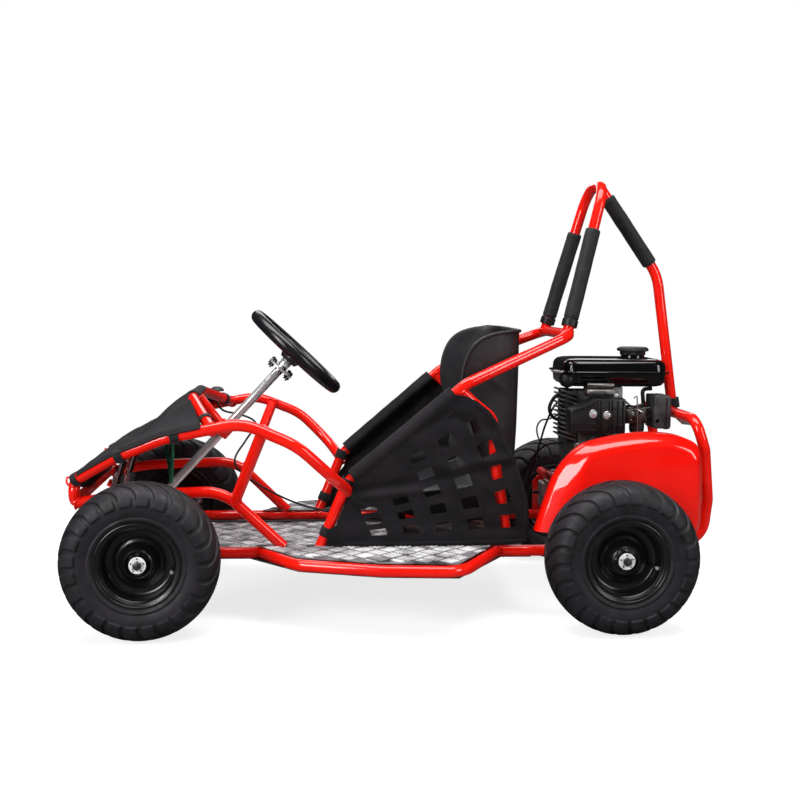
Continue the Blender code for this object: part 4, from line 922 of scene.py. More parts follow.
def hub_nut():
    """The washer and the nut of the front left hub, the nut with its stud, pin and rivets."""
    washer = lathe([(0.0048, HUB_FACE), (0.0048, HUB_FACE + 0.0012), (0.0170, HUB_FACE + 0.0012),
                    (0.0176, HUB_FACE + 0.0006), (0.0176, HUB_FACE)], FRONT_HUB, OUTWARD, 48)
    nut = rod(wheel_point(0, 0, HUB_FACE + 0.0012), wheel_point(0, 0, HUB_FACE + 0.0082), 0.0098, 6,
              0.0007)
    stud = rod(wheel_point(0, 0, HUB_FACE + 0.001), wheel_point(0, 0, HUB_FACE + 0.0105), 0.0047, 20)
    pin = rod(wheel_point(0.0125, 40, HUB_FACE + 0.0066), wheel_point(0.0125, 220, HUB_FACE + 0.0066),
              0.0011, 10, 0.0003)
    rivets = [rod(wheel_point(0.0138, angle, HUB_FACE + 0.0008),
                  wheel_point(0.0138, angle, HUB_FACE + 0.0024), 0.0017, 12, 0.0003)
              for angle in (20, 92, 164, 236, 308)]
    return {"washer": washer, "nut": joined(nut, stud, pin, *rivets)}


# The washers take the pale zinc with its painted reflection, and the nuts take dark steel.
for kind, piece in hub_nut().items():
    metal = pale_zinc_painted_reflection if kind == "washer" else dark_steel
    for end, side, flip, offset in WHEELS[1:]:
        shift = Vector(offset) if end == "front" else Vector((WHEELBASE.x, 0.0018 * (-1 if flip else 1), 0))
        twin = copied(piece, shift, flip)
        body = f"{side}_spindle" if end == "front" else "rear_wheels"
        dressed(twin, f"hub_{kind}_{end}_{side}", body, metal, "steel")
    dressed(piece, f"hub_{kind}_front_left", "left_spindle", metal, "steel")
print("wheels dressed")

# %% [markdown]
# ## Grids for shells and cloth
#
# A shell or a cloth starts as a plain grid. Its rows of points are then drawn onto the sections of
# the part, the gaps are deleted, and modifiers give it smoothness and thickness.

# %% Grid helpers
def grid_piece(rows):
    """A grid whose points lie on rows of places; a place that is None is deleted."""
    columns = len(rows[0])
    bpy.ops.mesh.primitive_grid_add(x_subdivisions=columns - 1, y_subdivisions=len(rows) - 1, size=2)
    piece = bpy.context.object
    order = sorted(piece.data.vertices, key=lambda v: (round(v.co.y, 5), round(v.co.x, 5)))
    dropped = []
    for vertex, place in zip(order, [place for row in rows for place in row]):
        vertex.co = place or Vector()
        if place is None:
            dropped.append(vertex.index)
    if dropped:
        delete_points(piece, dropped)
    return piece


def delete_points(piece, indices):
    """Delete the points with these numbers."""
    edit(piece, "VERT", "DESELECT")
    mesh = bmesh.from_edit_mesh(piece.data)
    mesh.verts.ensure_lookup_table()
    for index in indices:
        mesh.verts[index].select_set(True)
    bmesh.update_edit_mesh(piece.data)
    bpy.ops.mesh.delete(type="VERT")
    leave_edit()


def through(points, steps):
    """A smooth curve that passes through every point, with equal steps between them."""
    points = [Vector(point) for point in points]
    ends = [2 * points[0] - points[1]] + points + [2 * points[-1] - points[-2]]
    fine = []
    for a, b, c, d in zip(ends, ends[1:], ends[2:], ends[3:]):
        for i in range(steps):
            t = i / steps
            fine.append(0.5 * (2 * b + (c - a) * t + (2 * a - 5 * b + 4 * c - d) * t * t
                               + (3 * b - a - 3 * c + d) * t * t * t))
    return fine + [points[-1]]


def distances(points):
    """How far along a line each of its points lies."""
    reach = [0.0]
    for a, b in zip(points, points[1:]):
        reach.append(reach[-1] + (b - a).length)
    return reach


def evenly(points, count):
    """Spread places at equal steps along straight pieces."""
    reach = distances(points)
    places, k = [], 0
    for i in range(count):
        want = reach[-1] * i / (count - 1)
        while k < len(points) - 2 and reach[k + 1] < want:
            k += 1
        span = reach[k + 1] - reach[k]
        places.append(points[k].lerp(points[k + 1], (want - reach[k]) / span if span else 0.0))
    return places


def rounded_line(points, count):
    """Places evenly spread along a smooth curve through the points."""
    return evenly(through(points, 16), count)


def longest_rim(piece):
    """The longest open edge of a piece, as a closed line of places."""
    mesh = bmesh.new()
    mesh.from_mesh(piece.data)
    left = {edge for edge in mesh.edges if edge.is_boundary}
    loops = []
    while left:
        edge = left.pop()
        start, here = edge.verts
        line = [start.co.copy(), here.co.copy()]
        while here != start:
            following = [e for e in here.link_edges if e in left]
            if not following:
                break
            edge = following[0]
            left.discard(edge)
            here = edge.other_vert(here)
            if here != start:
                line.append(here.co.copy())
        loops.append(line)
    mesh.free()
    return max(loops, key=len)


def thickened(piece, thickness, offset=0.0):
    """Give a sheet its thickness."""
    modifier = piece.modifiers.new("thickness", "SOLIDIFY")
    modifier.thickness = thickness
    modifier.offset = offset
    return settle(piece)


def ridge(x, y, fold):
    """The height at a place of one fold: a line between two points, with a width and a height."""
    x1, y1, x2, y2, width, height = fold
    along = ((x - x1) * (x2 - x1) + (y - y1) * (y2 - y1)) / ((x2 - x1) ** 2 + (y2 - y1) ** 2)
    share = min(max(along, 0.0), 1.0)
    gap = math.hypot(x - x1 - share * (x2 - x1), y - y1 - share * (y2 - y1))
    taper = math.sin(math.pi * min(max(0.08 + 0.84 * share, 0.0), 1.0)) ** 0.6
    return height * taper * math.exp(-((gap / width) ** 2))


# %% [markdown]
# ## Seat
#
# The bucket seat is one moulded shell. The sections are the CAD part's, softened by subdivision.
# A rolled rim stiffens its edge, and two moulded creases cross each wing.

# %% Seat shell
SEAT_WALL, WING_FLARE = 0.005, 0.13
SEAT_STATIONS = [(-0.045, 0.252, 0.150, 0.010, 1.00), (0.000, 0.222, 0.165, 0.045, 1.00),
                 (0.080, 0.205, 0.172, 0.075, 1.00), (0.180, 0.200, 0.178, 0.090, 0.90),
                 (0.242, 0.225, 0.178, 0.105, 0.60), (0.268, 0.300, 0.178, 0.110, 0.25),
                 (0.276, 0.400, 0.178, 0.105, 0.05), (0.279, 0.490, 0.178, 0.137, 0.00),
                 (0.280, 0.545, 0.178, 0.140, 0.00), (0.280, 0.590, 0.177, 0.127, 0.00),
                 (0.280, 0.618, 0.173, 0.104, 0.00), (0.280, 0.633, 0.166, 0.070, 0.00),
                 (0.280, 0.640, 0.156, 0.026, 0.00)]


def seat_section(x, z, half, wing, rise):
    """One section across the seat: flat middle, rounded corner, wing flared outward."""
    way = Vector((-(1 - rise), 0.0, rise)).normalized()
    row = [Vector((x, -half * share, z)) + way * (wing * climb)
           for share, climb in ((1 + WING_FLARE, 1.0), (1 + WING_FLARE / 2, 0.55), (0.97, 0.20),
                                (0.84, 0.04), (0.45, 0.0))]
    return row + [Vector((x, 0.0, z))] + mirrored(reversed(row))


def woven(rows, across, along):
    """Rows of places made finer both ways, still passing through the places they had."""
    wide = [through(row, across) for row in rows]
    columns = [through(list(column), along) for column in zip(*wide)]
    return [list(row) for row in zip(*columns)]


seat = grid_piece(woven([seat_section(*station) for station in SEAT_STATIONS], 7, 7))
WING_CREASES = [(0.1577, 0.5676, 0.2595, 0.4957, 0.0035, -0.0024),
                (0.150, 0.470, 0.255, 0.405, 0.0035, -0.0018)]
PAN_RIBS = [(x, -0.10, x, 0.10, 0.006, 0.0025) for x in (0.06, 0.10, 0.14, 0.18)]
BACK_RIBS = [(z, -0.10, z, 0.10, 0.007, 0.0022) for z in (0.36, 0.41, 0.46, 0.51, 0.56)]
for vertex in seat.data.vertices:
    x, y, z = vertex.co
    if abs(y) > 0.165 and x < 0.275:
        press = sum(ridge(x, z, crease) for crease in WING_CREASES)
        vertex.co.y += math.copysign(press, y)
    if abs(y) < 0.13 and z < 0.23:
        vertex.co.z += sum(ridge(x, y, rib) for rib in PAN_RIBS)
    if abs(y) < 0.13 and z > 0.30:
        vertex.co.x -= sum(ridge(z, y, rib) for rib in BACK_RIBS)
rim_line = longest_rim(seat)
thickened(seat, SEAT_WALL, -1.0)
seat_rim = tube(rim_line, 0.0040, 10, closed=True)
riser = block((0.0003, -0.1097, 0.1351), (0.0237, 0.1097, 0.2180), 0.003, 3)
outward(seat)
seat = smooth(joined(smooth(seat, 50), seat_rim, riser), 50)
dressed(seat, "bucket_seat", "frame", seat_plastic, "black_plastic", "seat")
print("seat faces", len(seat.data.polygons), [round(v, 3) for v in seat.dimensions])

# %% [markdown]
# ## Side nets
#
# Each net is one sheet of woven cloth with slots that fan out from a point ahead of it. Its grid is
# drawn on rays from that point, so the slots are whole cells and their edges stay clean. The sheet
# runs up to the seat hoop, round the tube and down its back, where it is sewn on. Folds run
# between the places where it is tied. The right net is closed in its upper part, as seen.

# %% The net's plan
SEAT_LOW, SEAT_HIGH = Vector((-0.116, 0.229, 0.305)), Vector((0.143, 0.250, 0.527))
NET_LEAN = math.atan((SEAT_HIGH.y - SEAT_LOW.y) / (SEAT_HIGH.z - SEAT_LOW.z))
NET_OFFSET = 0.0165
NET_FOOT_Y = SEAT_LOW.y - math.tan(NET_LEAN) * SEAT_LOW.z + NET_OFFSET
HOOP_START = Vector((SEAT_LOW.x, SEAT_LOW.z / math.cos(NET_LEAN)))
HOOP_END = Vector((SEAT_HIGH.x, SEAT_HIGH.z / math.cos(NET_LEAN)))
hoop_way = (HOOP_END - HOOP_START).normalized()
hoop_out = Vector((-hoop_way.y, hoop_way.x))
SLEEVE_RADIUS, SLEEVE_REACH = 0.0188, 0.086

NET_CORNERS = [(-0.162, 0.1640), (-0.158, 0.205), (-0.141, 0.213), (-0.125, 0.255), (-0.110, 0.274),
               (-0.1045, 0.296), (-0.1018, 0.3186)]
NET_REAR = [(0.1166, 0.508), (0.140, 0.505), (0.168, 0.492), (0.193, 0.472), (0.213, 0.444),
            (0.231, 0.4075), (0.253, 0.364), (0.281, 0.286), (0.288, 0.245), (0.2875, 0.190),
            (0.276, 0.170), (0.150, 0.165)]
sleeve_corners = [Vector(NET_CORNERS[-1]) + hoop_out * SLEEVE_REACH,
                  Vector(NET_REAR[0]) + hoop_out * SLEEVE_REACH]
NET_OUTLINE = [Vector(corner) for corner in NET_CORNERS] + sleeve_corners + [Vector(c) for c in NET_REAR]

FAN = Vector((-0.300, 0.178))
FAN_RADIUS, FAN_PITCH, SLOT_LENGTH = 0.242, 0.0725, 0.035
CELL = SLOT_LENGTH / 14
ROW_SHIFT = [0.013, 0.004, 0.0, 0.0, 0.0]
FAN_START, FAN_STEP, SLOT_ANGLE = 4.6, 6.2, 3.3


def fan_angles():
    """Angles of the rays, ten cells across each slot and nine between, with each ray's row."""
    first = FAN_START - SLOT_ANGLE / 2
    rays = [(first - 0.322 * k, None) for k in range(34, 0, -1)]
    for row in range(5):
        low = first + FAN_STEP * row
        rays += [(low + SLOT_ANGLE * k / 10, row) for k in range(10)]
        rays += [(low + SLOT_ANGLE + (FAN_STEP - SLOT_ANGLE) * k / 9, None) for k in range(9)]
    top = first + FAN_STEP * 5
    return rays + [(top + 0.322 * k, None) for k in range(90)]


def row_shift(angle):
    """How far the slots of a row are pushed outward, blended between rows."""
    place = min(max((angle - FAN_START) / FAN_STEP, 0.0), 3.999)
    low = int(place)
    return ROW_SHIFT[low] + (ROW_SHIFT[low + 1] - ROW_SHIFT[low]) * (place - low)


def inside(point, outline):
    """Whether a point lies within a closed outline."""
    crossings = False
    for a, b in zip(outline, outline[1:] + outline[:1]):
        if (a.y > point.y) != (b.y > point.y):
            if point.x < (b.x - a.x) * (point.y - a.y) / (b.y - a.y) + a.x:
                crossings = not crossings
    return crossings


def edge_gap(point, outline):
    """The nearest place on the outline, and how far away it is."""
    best = None
    for a, b in zip(outline, outline[1:] + outline[:1]):
        along = b - a
        share = min(max((point - a).dot(along) / along.length_squared, 0.0), 1.0)
        spot = a + along * share
        if best is None or (point - spot).length < best[0]:
            best = ((point - spot).length, spot)
    return best


NET_FOLDS = {
    "left": [(-0.100, 0.291, 0.040, 0.312, 0.010, -0.0042), (0.020, 0.308, 0.240, 0.345, 0.013, -0.0045),
             (-0.095, 0.277, 0.060, 0.296, 0.009, 0.0038), (0.100, 0.462, 0.200, 0.430, 0.010, -0.0035),
             (0.005, 0.417, 0.110, 0.462, 0.012, -0.0030), (0.150, 0.356, 0.262, 0.368, 0.010, 0.0040),
             (-0.100, 0.270, -0.045, 0.240, 0.007, 0.0035), (-0.105, 0.262, -0.060, 0.228, 0.005, -0.0030),
             (-0.130, 0.200, 0.130, 0.192, 0.015, 0.0025), (0.140, 0.215, 0.275, 0.200, 0.012, -0.0035),
             (0.190, 0.300, 0.272, 0.250, 0.015, 0.0030), (0.060, 0.360, 0.170, 0.330, 0.014, 0.0032)],
    "right": [(-0.105, 0.285, 0.120, 0.300, 0.012, -0.0040), (0.000, 0.320, 0.230, 0.330, 0.014, 0.0040),
              (0.090, 0.460, 0.210, 0.410, 0.011, -0.0035), (-0.120, 0.215, 0.060, 0.240, 0.012, 0.0030),
              (0.050, 0.400, 0.180, 0.370, 0.013, 0.0030), (0.150, 0.210, 0.270, 0.235, 0.012, -0.0032)]}


def net_place(flat, side, sign, lift=0.0):
    """Where a point of the flat sheet lies once it hangs from the hoop."""
    gap = (flat - HOOP_START).dot(hoop_out)
    foot = flat - hoop_out * gap
    beyond, turn = gap / SLEEVE_RADIUS, math.pi
    ruffle = noise.noise(Vector((flat.x * 60, flat.y * 60, sign))) * 0.0009
    ruffle += noise.noise(Vector((flat.x * 22, flat.y * 22, 5 + sign))) * 0.0012
    radius = SLEEVE_RADIUS + lift + ruffle * 0.5
    if beyond <= 0:
        bulge = math.sqrt(max(radius ** 2 - gap ** 2, 0.0)) if -gap < radius else 0.0
        height = max(NET_OFFSET + 0.0004, bulge) + lift * 0.3
        fade = min(-gap / 0.02, 1.0)
        height += fade * (1.4 * sum(ridge(flat.x, flat.y, fold) for fold in NET_FOLDS[side]) + ruffle)
        out = gap
    elif beyond < turn:
        out, height = radius * math.sin(beyond), radius * math.cos(beyond)
    else:
        extra = gap - SLEEVE_RADIUS * turn
        share = min(extra / (SLEEVE_REACH - SLEEVE_RADIUS * turn), 1.0)
        share = share * share * (3 - 2 * share)
        out, height = -extra, -radius + share * (radius + NET_OFFSET - 0.0022)
    plan = foot + hoop_out * out
    y = NET_FOOT_Y - NET_OFFSET + plan.y * math.sin(NET_LEAN) + height * math.cos(NET_LEAN)
    z = plan.y * math.cos(NET_LEAN) - height * math.sin(NET_LEAN)
    return Vector((plan.x, sign * y, z))


# %% Cutting the net
def flat_net(slot_rows):
    """The flat sheet with its slots cut in its lowest rows, its edge drawn onto the outline."""
    rays = fan_angles()
    rings = [0.0995 + CELL * k for k in range(206)]
    slot_low = [FAN_RADIUS - SLOT_LENGTH / 2 + FAN_PITCH * ring for ring in range(5)]
    rows = []
    for angle, row in rays:
        shift = row_shift(angle)
        way = Vector((math.cos(math.radians(angle)), math.sin(math.radians(angle))))
        rows.append([FAN + way * (ring + shift) for ring in rings])
    piece = grid_piece([[place.to_3d() for place in row] for row in rows])
    edit(piece, "FACE", "DESELECT")
    mesh = bmesh.from_edit_mesh(piece.data)
    for face in mesh.faces:
        middle = face.calc_center_median().xy
        away = middle - FAN
        angle = math.degrees(math.atan2(away.y, away.x))
        row = round((angle - FAN_START) / FAN_STEP)
        in_row = 0 <= row < slot_rows and abs(angle - FAN_START - FAN_STEP * row) < SLOT_ANGLE / 2
        ring = away.length - row_shift(angle)
        slots = slot_low if row < 3 else slot_low[2:]
        in_slot = in_row and any(low < ring < low + SLOT_LENGTH for low in slots)
        face.select_set(in_slot or not inside(middle, NET_OUTLINE))
    bmesh.update_edit_mesh(piece.data)
    bpy.ops.mesh.delete(type="FACE")
    leave_edit()
    draw_edges(piece)
    return piece


def draw_edges(piece):
    """Put the outer edge onto the outline and round the corners of the slots."""
    mesh = bmesh.new()
    mesh.from_mesh(piece.data)
    for vertex in mesh.verts:
        if vertex.is_boundary:
            gap, spot = edge_gap(vertex.co.xy, NET_OUTLINE)
            if gap < 0.0032:
                vertex.co = spot.to_3d()
            elif len(vertex.link_faces) == 3:
                vertex.co += (vertex.link_faces[0].calc_center_median()
                              + vertex.link_faces[2].calc_center_median() - 2 * vertex.co) * -0.45
    mesh.to_mesh(piece.data)
    mesh.free()


def lay_flat_uv(piece, flat_place):
    """Keep the flat places of a sheet as its UV map, in metres, so its weave follows the threads."""
    layers = piece.data.uv_layers
    layer = layers[0] if layers else layers.new(name="flat")
    for loop in piece.data.loops:
        layer.data[loop.index].uv = flat_place(piece.data.vertices[loop.vertex_index].co)


for side, sign in SIDES:
    net = flat_net(5 if side == "left" else 2)
    lay_flat_uv(net, lambda spot: spot.xy)
    for vertex in net.data.vertices:
        vertex.co = net_place(vertex.co.xy, side, sign)
    smooth(thickened(net, 0.0017), 60)
    dressed(net, f"net_cloth_{side}", "frame", black_cloth, "black_fabric", f"side_net_{side}")

# %% [markdown]
# A hem of doubled cloth runs down the rear edge and along the foot of each net.
# Webbing ties hold the sheet to the tubes where the photograph shows them.

# %% Hems and ties
def inset_line(line, inset):
    """A line drawn inward from a line of the outline."""
    places = []
    for i, place in enumerate(line):
        way = (line[min(i + 1, len(line) - 1)] - line[max(i - 1, 0)]).normalized()
        places.append(place + Vector((way.y, -way.x)) * inset)
    return places


# Across the hem: distance from the edge, lift in the net's own plane, distance outward
HEM_SECTION = ((0.0010, 0.0, 0.00044), (0.0018, 0.0014, 0.0011), (0.0065, 0.00168, 0.00121),
               (0.0110, 0.0014, 0.0011), (0.0120, 0.0, 0.00044))
hem_edge = [place.xy for place in rounded_line([(*corner, 0) for corner in NET_REAR[2:]]
                                               + [(-0.120, 0.1645, 0)], 90)]
for side, sign in SIDES:
    rows = [[net_place(place, side, sign, lift) + Vector((0, sign * out, 0))
             for place in inset_line(hem_edge, inset)] for inset, lift, out in HEM_SECTION]
    hem = grid_piece(rows)
    lay_flat_uv(hem, lambda spot: spot.xz)
    smooth(thickened(hem, 0.0010), 60)
    dressed(hem, f"net_hem_{side}", "frame", black_cloth, "black_fabric")


def tie(name, centre, way, width):
    """A band of webbing round a tube."""
    half, radius, wall = width / 2, TUBE + 0.0014, 0.0013
    centre, way = Vector(centre), Vector(way).normalized()
    profile = [(radius, -half), (radius + wall * 0.7, -half), (radius + wall, -half + 0.001),
               (radius + wall, half - 0.001), (radius + wall * 0.7, half), (radius, half)]
    band = lathe(profile, centre, way, 40)
    for vertex in band.data.vertices:
        away = vertex.co - centre
        away -= way * away.dot(way)
        vertex.co += away.normalized() * noise.noise(vertex.co * 120) * 0.0004
    dressed(band, name, "frame", webbing, "black_fabric")


def along(path, share):
    """A place and direction part of the way along a path."""
    reach = distances(path)
    want = share * reach[-1]
    for k in range(len(path) - 1):
        if reach[k + 1] >= want:
            step = (want - reach[k]) / max(reach[k + 1] - reach[k], 1e-9)
            return path[k].lerp(path[k + 1], step), (path[k + 1] - path[k]).normalized()
    return path[-1], (path[-1] - path[-2]).normalized()


def near_x(path, x):
    """The share of a path where it first passes a given x."""
    for i in range(401):
        if (along(path, i / 400)[0].x - x) * (path[0].x - x) <= 0:
            return i / 400
    return 1.0


for side, sign in SIDES:
    hoop_side = on_side(SEAT_HOOP_LEG, sign)
    for k, share in enumerate((0.050, 0.200)):
        place, way = along(hoop_side, share)
        tie(f"net_tie_{side}_{k}", place, way, 0.022)
print("nets hung")

# %% [markdown]
# ## Nose cover
#
# One cloth lies over the nose bar, the two upper arches and the steering hoop. Its sections are the
# CAD part's, made finer, with longer creases that run back and inward from the front corners.

# %% Nose cover
COVER_STATIONS = [(-0.7070, 0.3215, -0.6980), (-0.6890, 0.3400, -0.6700), (-0.6590, 0.3590, -0.6370),
                  (-0.6260, 0.3740, -0.6000), (-0.5900, 0.3930, -0.5580), (-0.5650, 0.4160, -0.5220),
                  (-0.5330, 0.4450, -0.4840), (-0.5050, 0.4690, -0.4490), (-0.4840, 0.4860, -0.4275)]
COVER_COLUMNS, TONGUE_COLUMNS, LIP_COLUMNS = 10, 3, 7
FINE = 6
SLOPE_STRETCH = 1.35
COVER_FOLDS = [(-0.695, -0.200, -0.560, -0.050, 0.012, 0.0055),
               (-0.690, -0.235, -0.530, -0.120, 0.011, 0.0060),
               (-0.680, -0.255, -0.600, -0.215, 0.008, 0.0045),
               (-0.600, -0.130, -0.530, -0.090, 0.006, -0.0060),
               (-0.590, -0.090, -0.520, -0.060, 0.007, 0.0065),
               (-0.575, -0.235, -0.500, -0.080, 0.014, -0.0035),
               (-0.560, -0.010, -0.500, 0.010, 0.012, 0.0030),
               (-0.695, 0.200, -0.560, 0.060, 0.013, 0.0050),
               (-0.690, 0.235, -0.530, 0.130, 0.012, 0.0055),
               (-0.600, 0.110, -0.520, 0.080, 0.008, -0.0045),
               (-0.620, -0.060, -0.560, -0.020, 0.015, -0.0035),
               (-0.570, 0.230, -0.500, 0.090, 0.014, 0.0035)]


def arch_top(x):
    """A point just above the right upper arch, at a given x."""
    point = UPPER_ARCH[0]
    for before, after in zip(UPPER_ARCH, UPPER_ARCH[1:]):
        if before.x <= x <= after.x:
            point = before.lerp(after, (x - before.x) / (after.x - before.x))
            break
    return point + Vector((0.0, 0.003, TUBE + 0.0034))


def cover_section(x, z, edge_x):
    """One row across the cover, from the left arch over the middle to the right arch."""
    middle, edge = Vector((x, 0.0, z)), arch_top(edge_x)
    shoulder = Vector((x + 0.33 * (edge_x - x), 0.145, z - 0.16 * (z - edge.z)))
    half = []
    for i in range(COVER_COLUMNS + 1):
        share = i / COVER_COLUMNS
        half.append(middle.lerp(shoulder, share / 0.5) if share < 0.5
                    else shoulder.lerp(edge, (share - 0.5) / 0.5))
    half.append(edge + Vector((0.0, 0.0125, -0.0085)))
    return mirrored(reversed(half[1:])) + half


def wrapped(row, centre, radius, angle, columns):
    """A narrower row carried round a tube: None where the cloth does not reach."""
    x = centre.x + radius * math.cos(math.radians(angle))
    z = centre.z + radius * math.sin(math.radians(angle))
    middle = (len(row) - 1) // 2
    return [Vector((x, point.y, z)) if abs(i - middle) <= columns else None
            for i, point in enumerate(row)]


rows = woven([cover_section(*station) for station in COVER_STATIONS], FINE, FINE)
for k, row in enumerate(rows):
    for place in row:
        lift = sum(ridge(place.x, place.y, fold) for fold in COVER_FOLDS)
        lift += noise.noise(Vector((place.x * 28, place.y * 28, 2))) * 0.0016
        edge_fade = min(1.0, k / 5, (len(rows) - 1 - k) / 5)
        place.z += lift * edge_fade
nose_top = Vector((NOSE_X, 0.0, NOSE_HIGH))
for angle in (122, 140, 158, 176, 194, 212, 232, 252, 270):
    rows.insert(0, wrapped(rows[0], nose_top, TUBE + 0.0022, angle, LIP_COLUMNS * FINE))
for back, z in ((0.012, 0.2895), (0.022, 0.2900)):
    rows.insert(0, [place and Vector((NOSE_X + back, place.y, z)) for place in rows[0]])
for angle in (118, 100, 82, 64, 46, 28):
    rows.append(wrapped(rows[-1], HOOP_TOP, TUBE + 0.0024, angle, TONGUE_COLUMNS * FINE))
cover = grid_piece(rows)
lay_flat_uv(cover, lambda spot: (spot.x * SLOPE_STRETCH, spot.y))
smooth(thickened(cover, 0.0016), 60)
dressed(cover, "nose_cloth", "frame", black_cloth, "black_fabric", "front_cover")

# %% [markdown]
# Bands of webbing, sewn to the cloth's edge, go round the arches, the steering hoop and the corners
# of the nose bar.

# %% Cover ties
for side, sign in SIDES:
    arch = on_side(UPPER_ARCH, sign)
    for k, (x, width) in enumerate(((-0.6990, 0.016), (-0.6000, 0.019), (-0.4820, 0.019))):
        tie(f"cover_tie_{side}_{k}", *along(arch, near_x(arch, x)), width)
    tie(f"cover_tie_{side}_3", *along(on_side(HOOP_LEG, sign), 0.24), 0.016)
print("cover tied down")

# %% [markdown]
# ## Fender
#
# The fender is one moulded panel between the engine and the left rear tyre. Its sections are the
# outline drawn in towards the foot, so its edge can be rounded and its face can swell a little.

# %% Fender
FENDER_OUTLINE = [(0.300, 0.200), (0.3205, 0.265), (0.3455, 0.3315), (0.3885, 0.382), (0.432, 0.403),
                  (0.5207, 0.419), (0.588, 0.419), (0.633, 0.409), (0.665, 0.389), (0.674, 0.342),
                  (0.676, 0.230), (0.670, 0.200)]
FENDER_FOOT = Vector((0.490, 0.0, 0.2002))
fender_line = rounded_line([Vector((x, 0, z)) for x, z in FENDER_OUTLINE], 121)
# Each section: share of the rounding's width, share of the panel's depth
FENDER_SECTIONS = [(0, 0), (0, 0.15), (0, 0.30), (0.01, 0.38), (0.03, 0.45), (0.07, 0.52), (0.12, 0.57),
                   (0.19, 0.63), (0.27, 0.70), (0.36, 0.77), (0.46, 0.84), (0.57, 0.90), (0.69, 0.95),
                   (0.84, 0.985), (1, 1)]
LEDGE = (0.490, 0.3420, 0.700, 0.3805)


def drawn_in(line, share, depth):
    """A section, drawn in towards the foot; the front edge is rounded over a wider band."""
    places = []
    for place in line:
        front = min(max((0.415 - place.x) / 0.090, 0.0), 1.0)
        width = 0.030 + 0.052 * front * front * (3 - 2 * front)
        inward = (FENDER_FOOT - place).normalized()
        places.append(place + inward * width * share + Vector((0, -0.2332 - 0.0536 * depth, 0)))
    return places


def fender_face(place):
    """The swell of the face and the ledge that crosses its rear."""
    x1, z1, x2, z2 = LEDGE
    share = min(max((place.x - x1) / (x2 - x1), 0.0), 1.0)
    above = place.z - (z1 + (z2 - z1) * share)
    step = 1 / (1 + math.exp(-above / 0.0035))
    return place.y + 0.0022 * share * step


sections = [drawn_in(fender_line, share, depth) for share, depth in FENDER_SECTIONS]
edge, steps = sections[-1], 30
for k in range(1, steps):
    sections.append([place.lerp(Vector((FENDER_FOOT.x, place.y, FENDER_FOOT.z)), k / steps)
                     for place in edge])
for row in sections[9:]:
    for place in row:
        place.y = fender_face(place)
fender = grid_piece(sections)
thickened(fender, 0.0030, 1.0)
outward(fender)
smooth(fender, 60)
tab = block((0.430, -0.2832, 0.222), (0.500, -0.2184, 0.240), 0.003, 3)
heads = [bolt((x, -0.2868, 0.231), (0, -1, 0), 0.010, 0.004) for x in (0.445, 0.485)]
fender = joined(fender, tab)
dressed(fender, "fender_panel", "frame", red_plastic, "red_plastic", "fender_left")
dressed(joined(*heads), "fender_bolts", "frame", zinc, "steel")
print("fender faces", len(fender.data.polygons))

# %% [markdown]
# ## Steering wheel and column
#
# The ring is an oval grip on three flat arms. Its hub sits on a plate with nuts, and the plate on a
# chromed column. The column runs through two bushes and carries the arm that pushes the tie rods.

# %% Steering wheel
STEER_CENTRE = Vector((-0.232, 0.0, 0.582))
COLUMN_UP = Vector((0.6756, 0.0, 0.7373)).normalized()
COLUMN_TURN = Vector((0, 0, 1)).rotation_difference(COLUMN_UP)


def on_column(radius, angle, below):
    """A place round the column: radius, angle from the front's foot side, distance below the ring."""
    way = math.radians(angle)
    flat = COLUMN_TURN @ Vector((radius * math.cos(way), radius * math.sin(way), 0))
    return STEER_CENTRE + flat - COLUMN_UP * below


grip_line = []
for i in range(28):
    angle = 2 * math.pi * i / 28
    grip_line.append((0.123 + 0.0138 * math.cos(angle), 0.0148 * math.sin(angle)))
ring = lathe(grip_line, STEER_CENTRE, COLUMN_UP, 128)
dressed(ring, "steering_grip", "steering", grip_rubber, "black_plastic", "steering_wheel")


def steering_arm(angle):
    """A pressed arm: a bar from the hub to the ring, narrowed and dished, with two holes."""
    bpy.ops.mesh.primitive_cube_add(size=1)
    arm = bpy.context.object
    arm.scale = (0.100, 0.026, 0.0045)
    settle(arm)
    edit(arm)
    bpy.ops.mesh.subdivide(number_cuts=7)
    leave_edit()
    for vertex in arm.data.vertices:
        share = vertex.co.x / 0.100 + 0.5
        vertex.co.y *= 1.0 - 0.30 * math.sin(math.pi * share)
        vertex.co.z += 0.012 * share ** 2 - 0.0115
        vertex.co.x += 0.069
    for x in (0.050, 0.074):
        bpy.ops.mesh.primitive_cylinder_add(vertices=24, radius=0.0055, depth=0.06, location=(x, 0, 0))
        cut(arm, bpy.context.object)
    bevelled(arm, 0.0008, 2, 40)
    arm.matrix_world = (Matrix.Translation(STEER_CENTRE) @ COLUMN_TURN.to_matrix().to_4x4()
                        @ Matrix.Rotation(math.radians(angle), 4, "Z"))
    return smooth(settle(arm), 40)


arms = joined(*[steering_arm(angle) for angle in (0, 120, 240)])
dressed(arms, "steering_arms", "steering", black_paint, "black_plastic")
hub_line = [(0.0, -0.0030), (0.022, -0.0030), (0.030, -0.0070), (0.031, -0.0130), (0.027, -0.0180),
            (0.0215, -0.0290), (0.0200, -0.0300), (0.0, -0.0300)]
hub = lathe(hub_line, STEER_CENTRE, COLUMN_UP, 64)
dressed(hub, "steering_hub", "steering", black_plastic, "black_plastic")

# %% Column
def on_axis(low, high, radius, sides=32, edge=0.0006):
    return rod(STEER_CENTRE - COLUMN_UP * low, STEER_CENTRE - COLUMN_UP * high, radius, sides, edge)


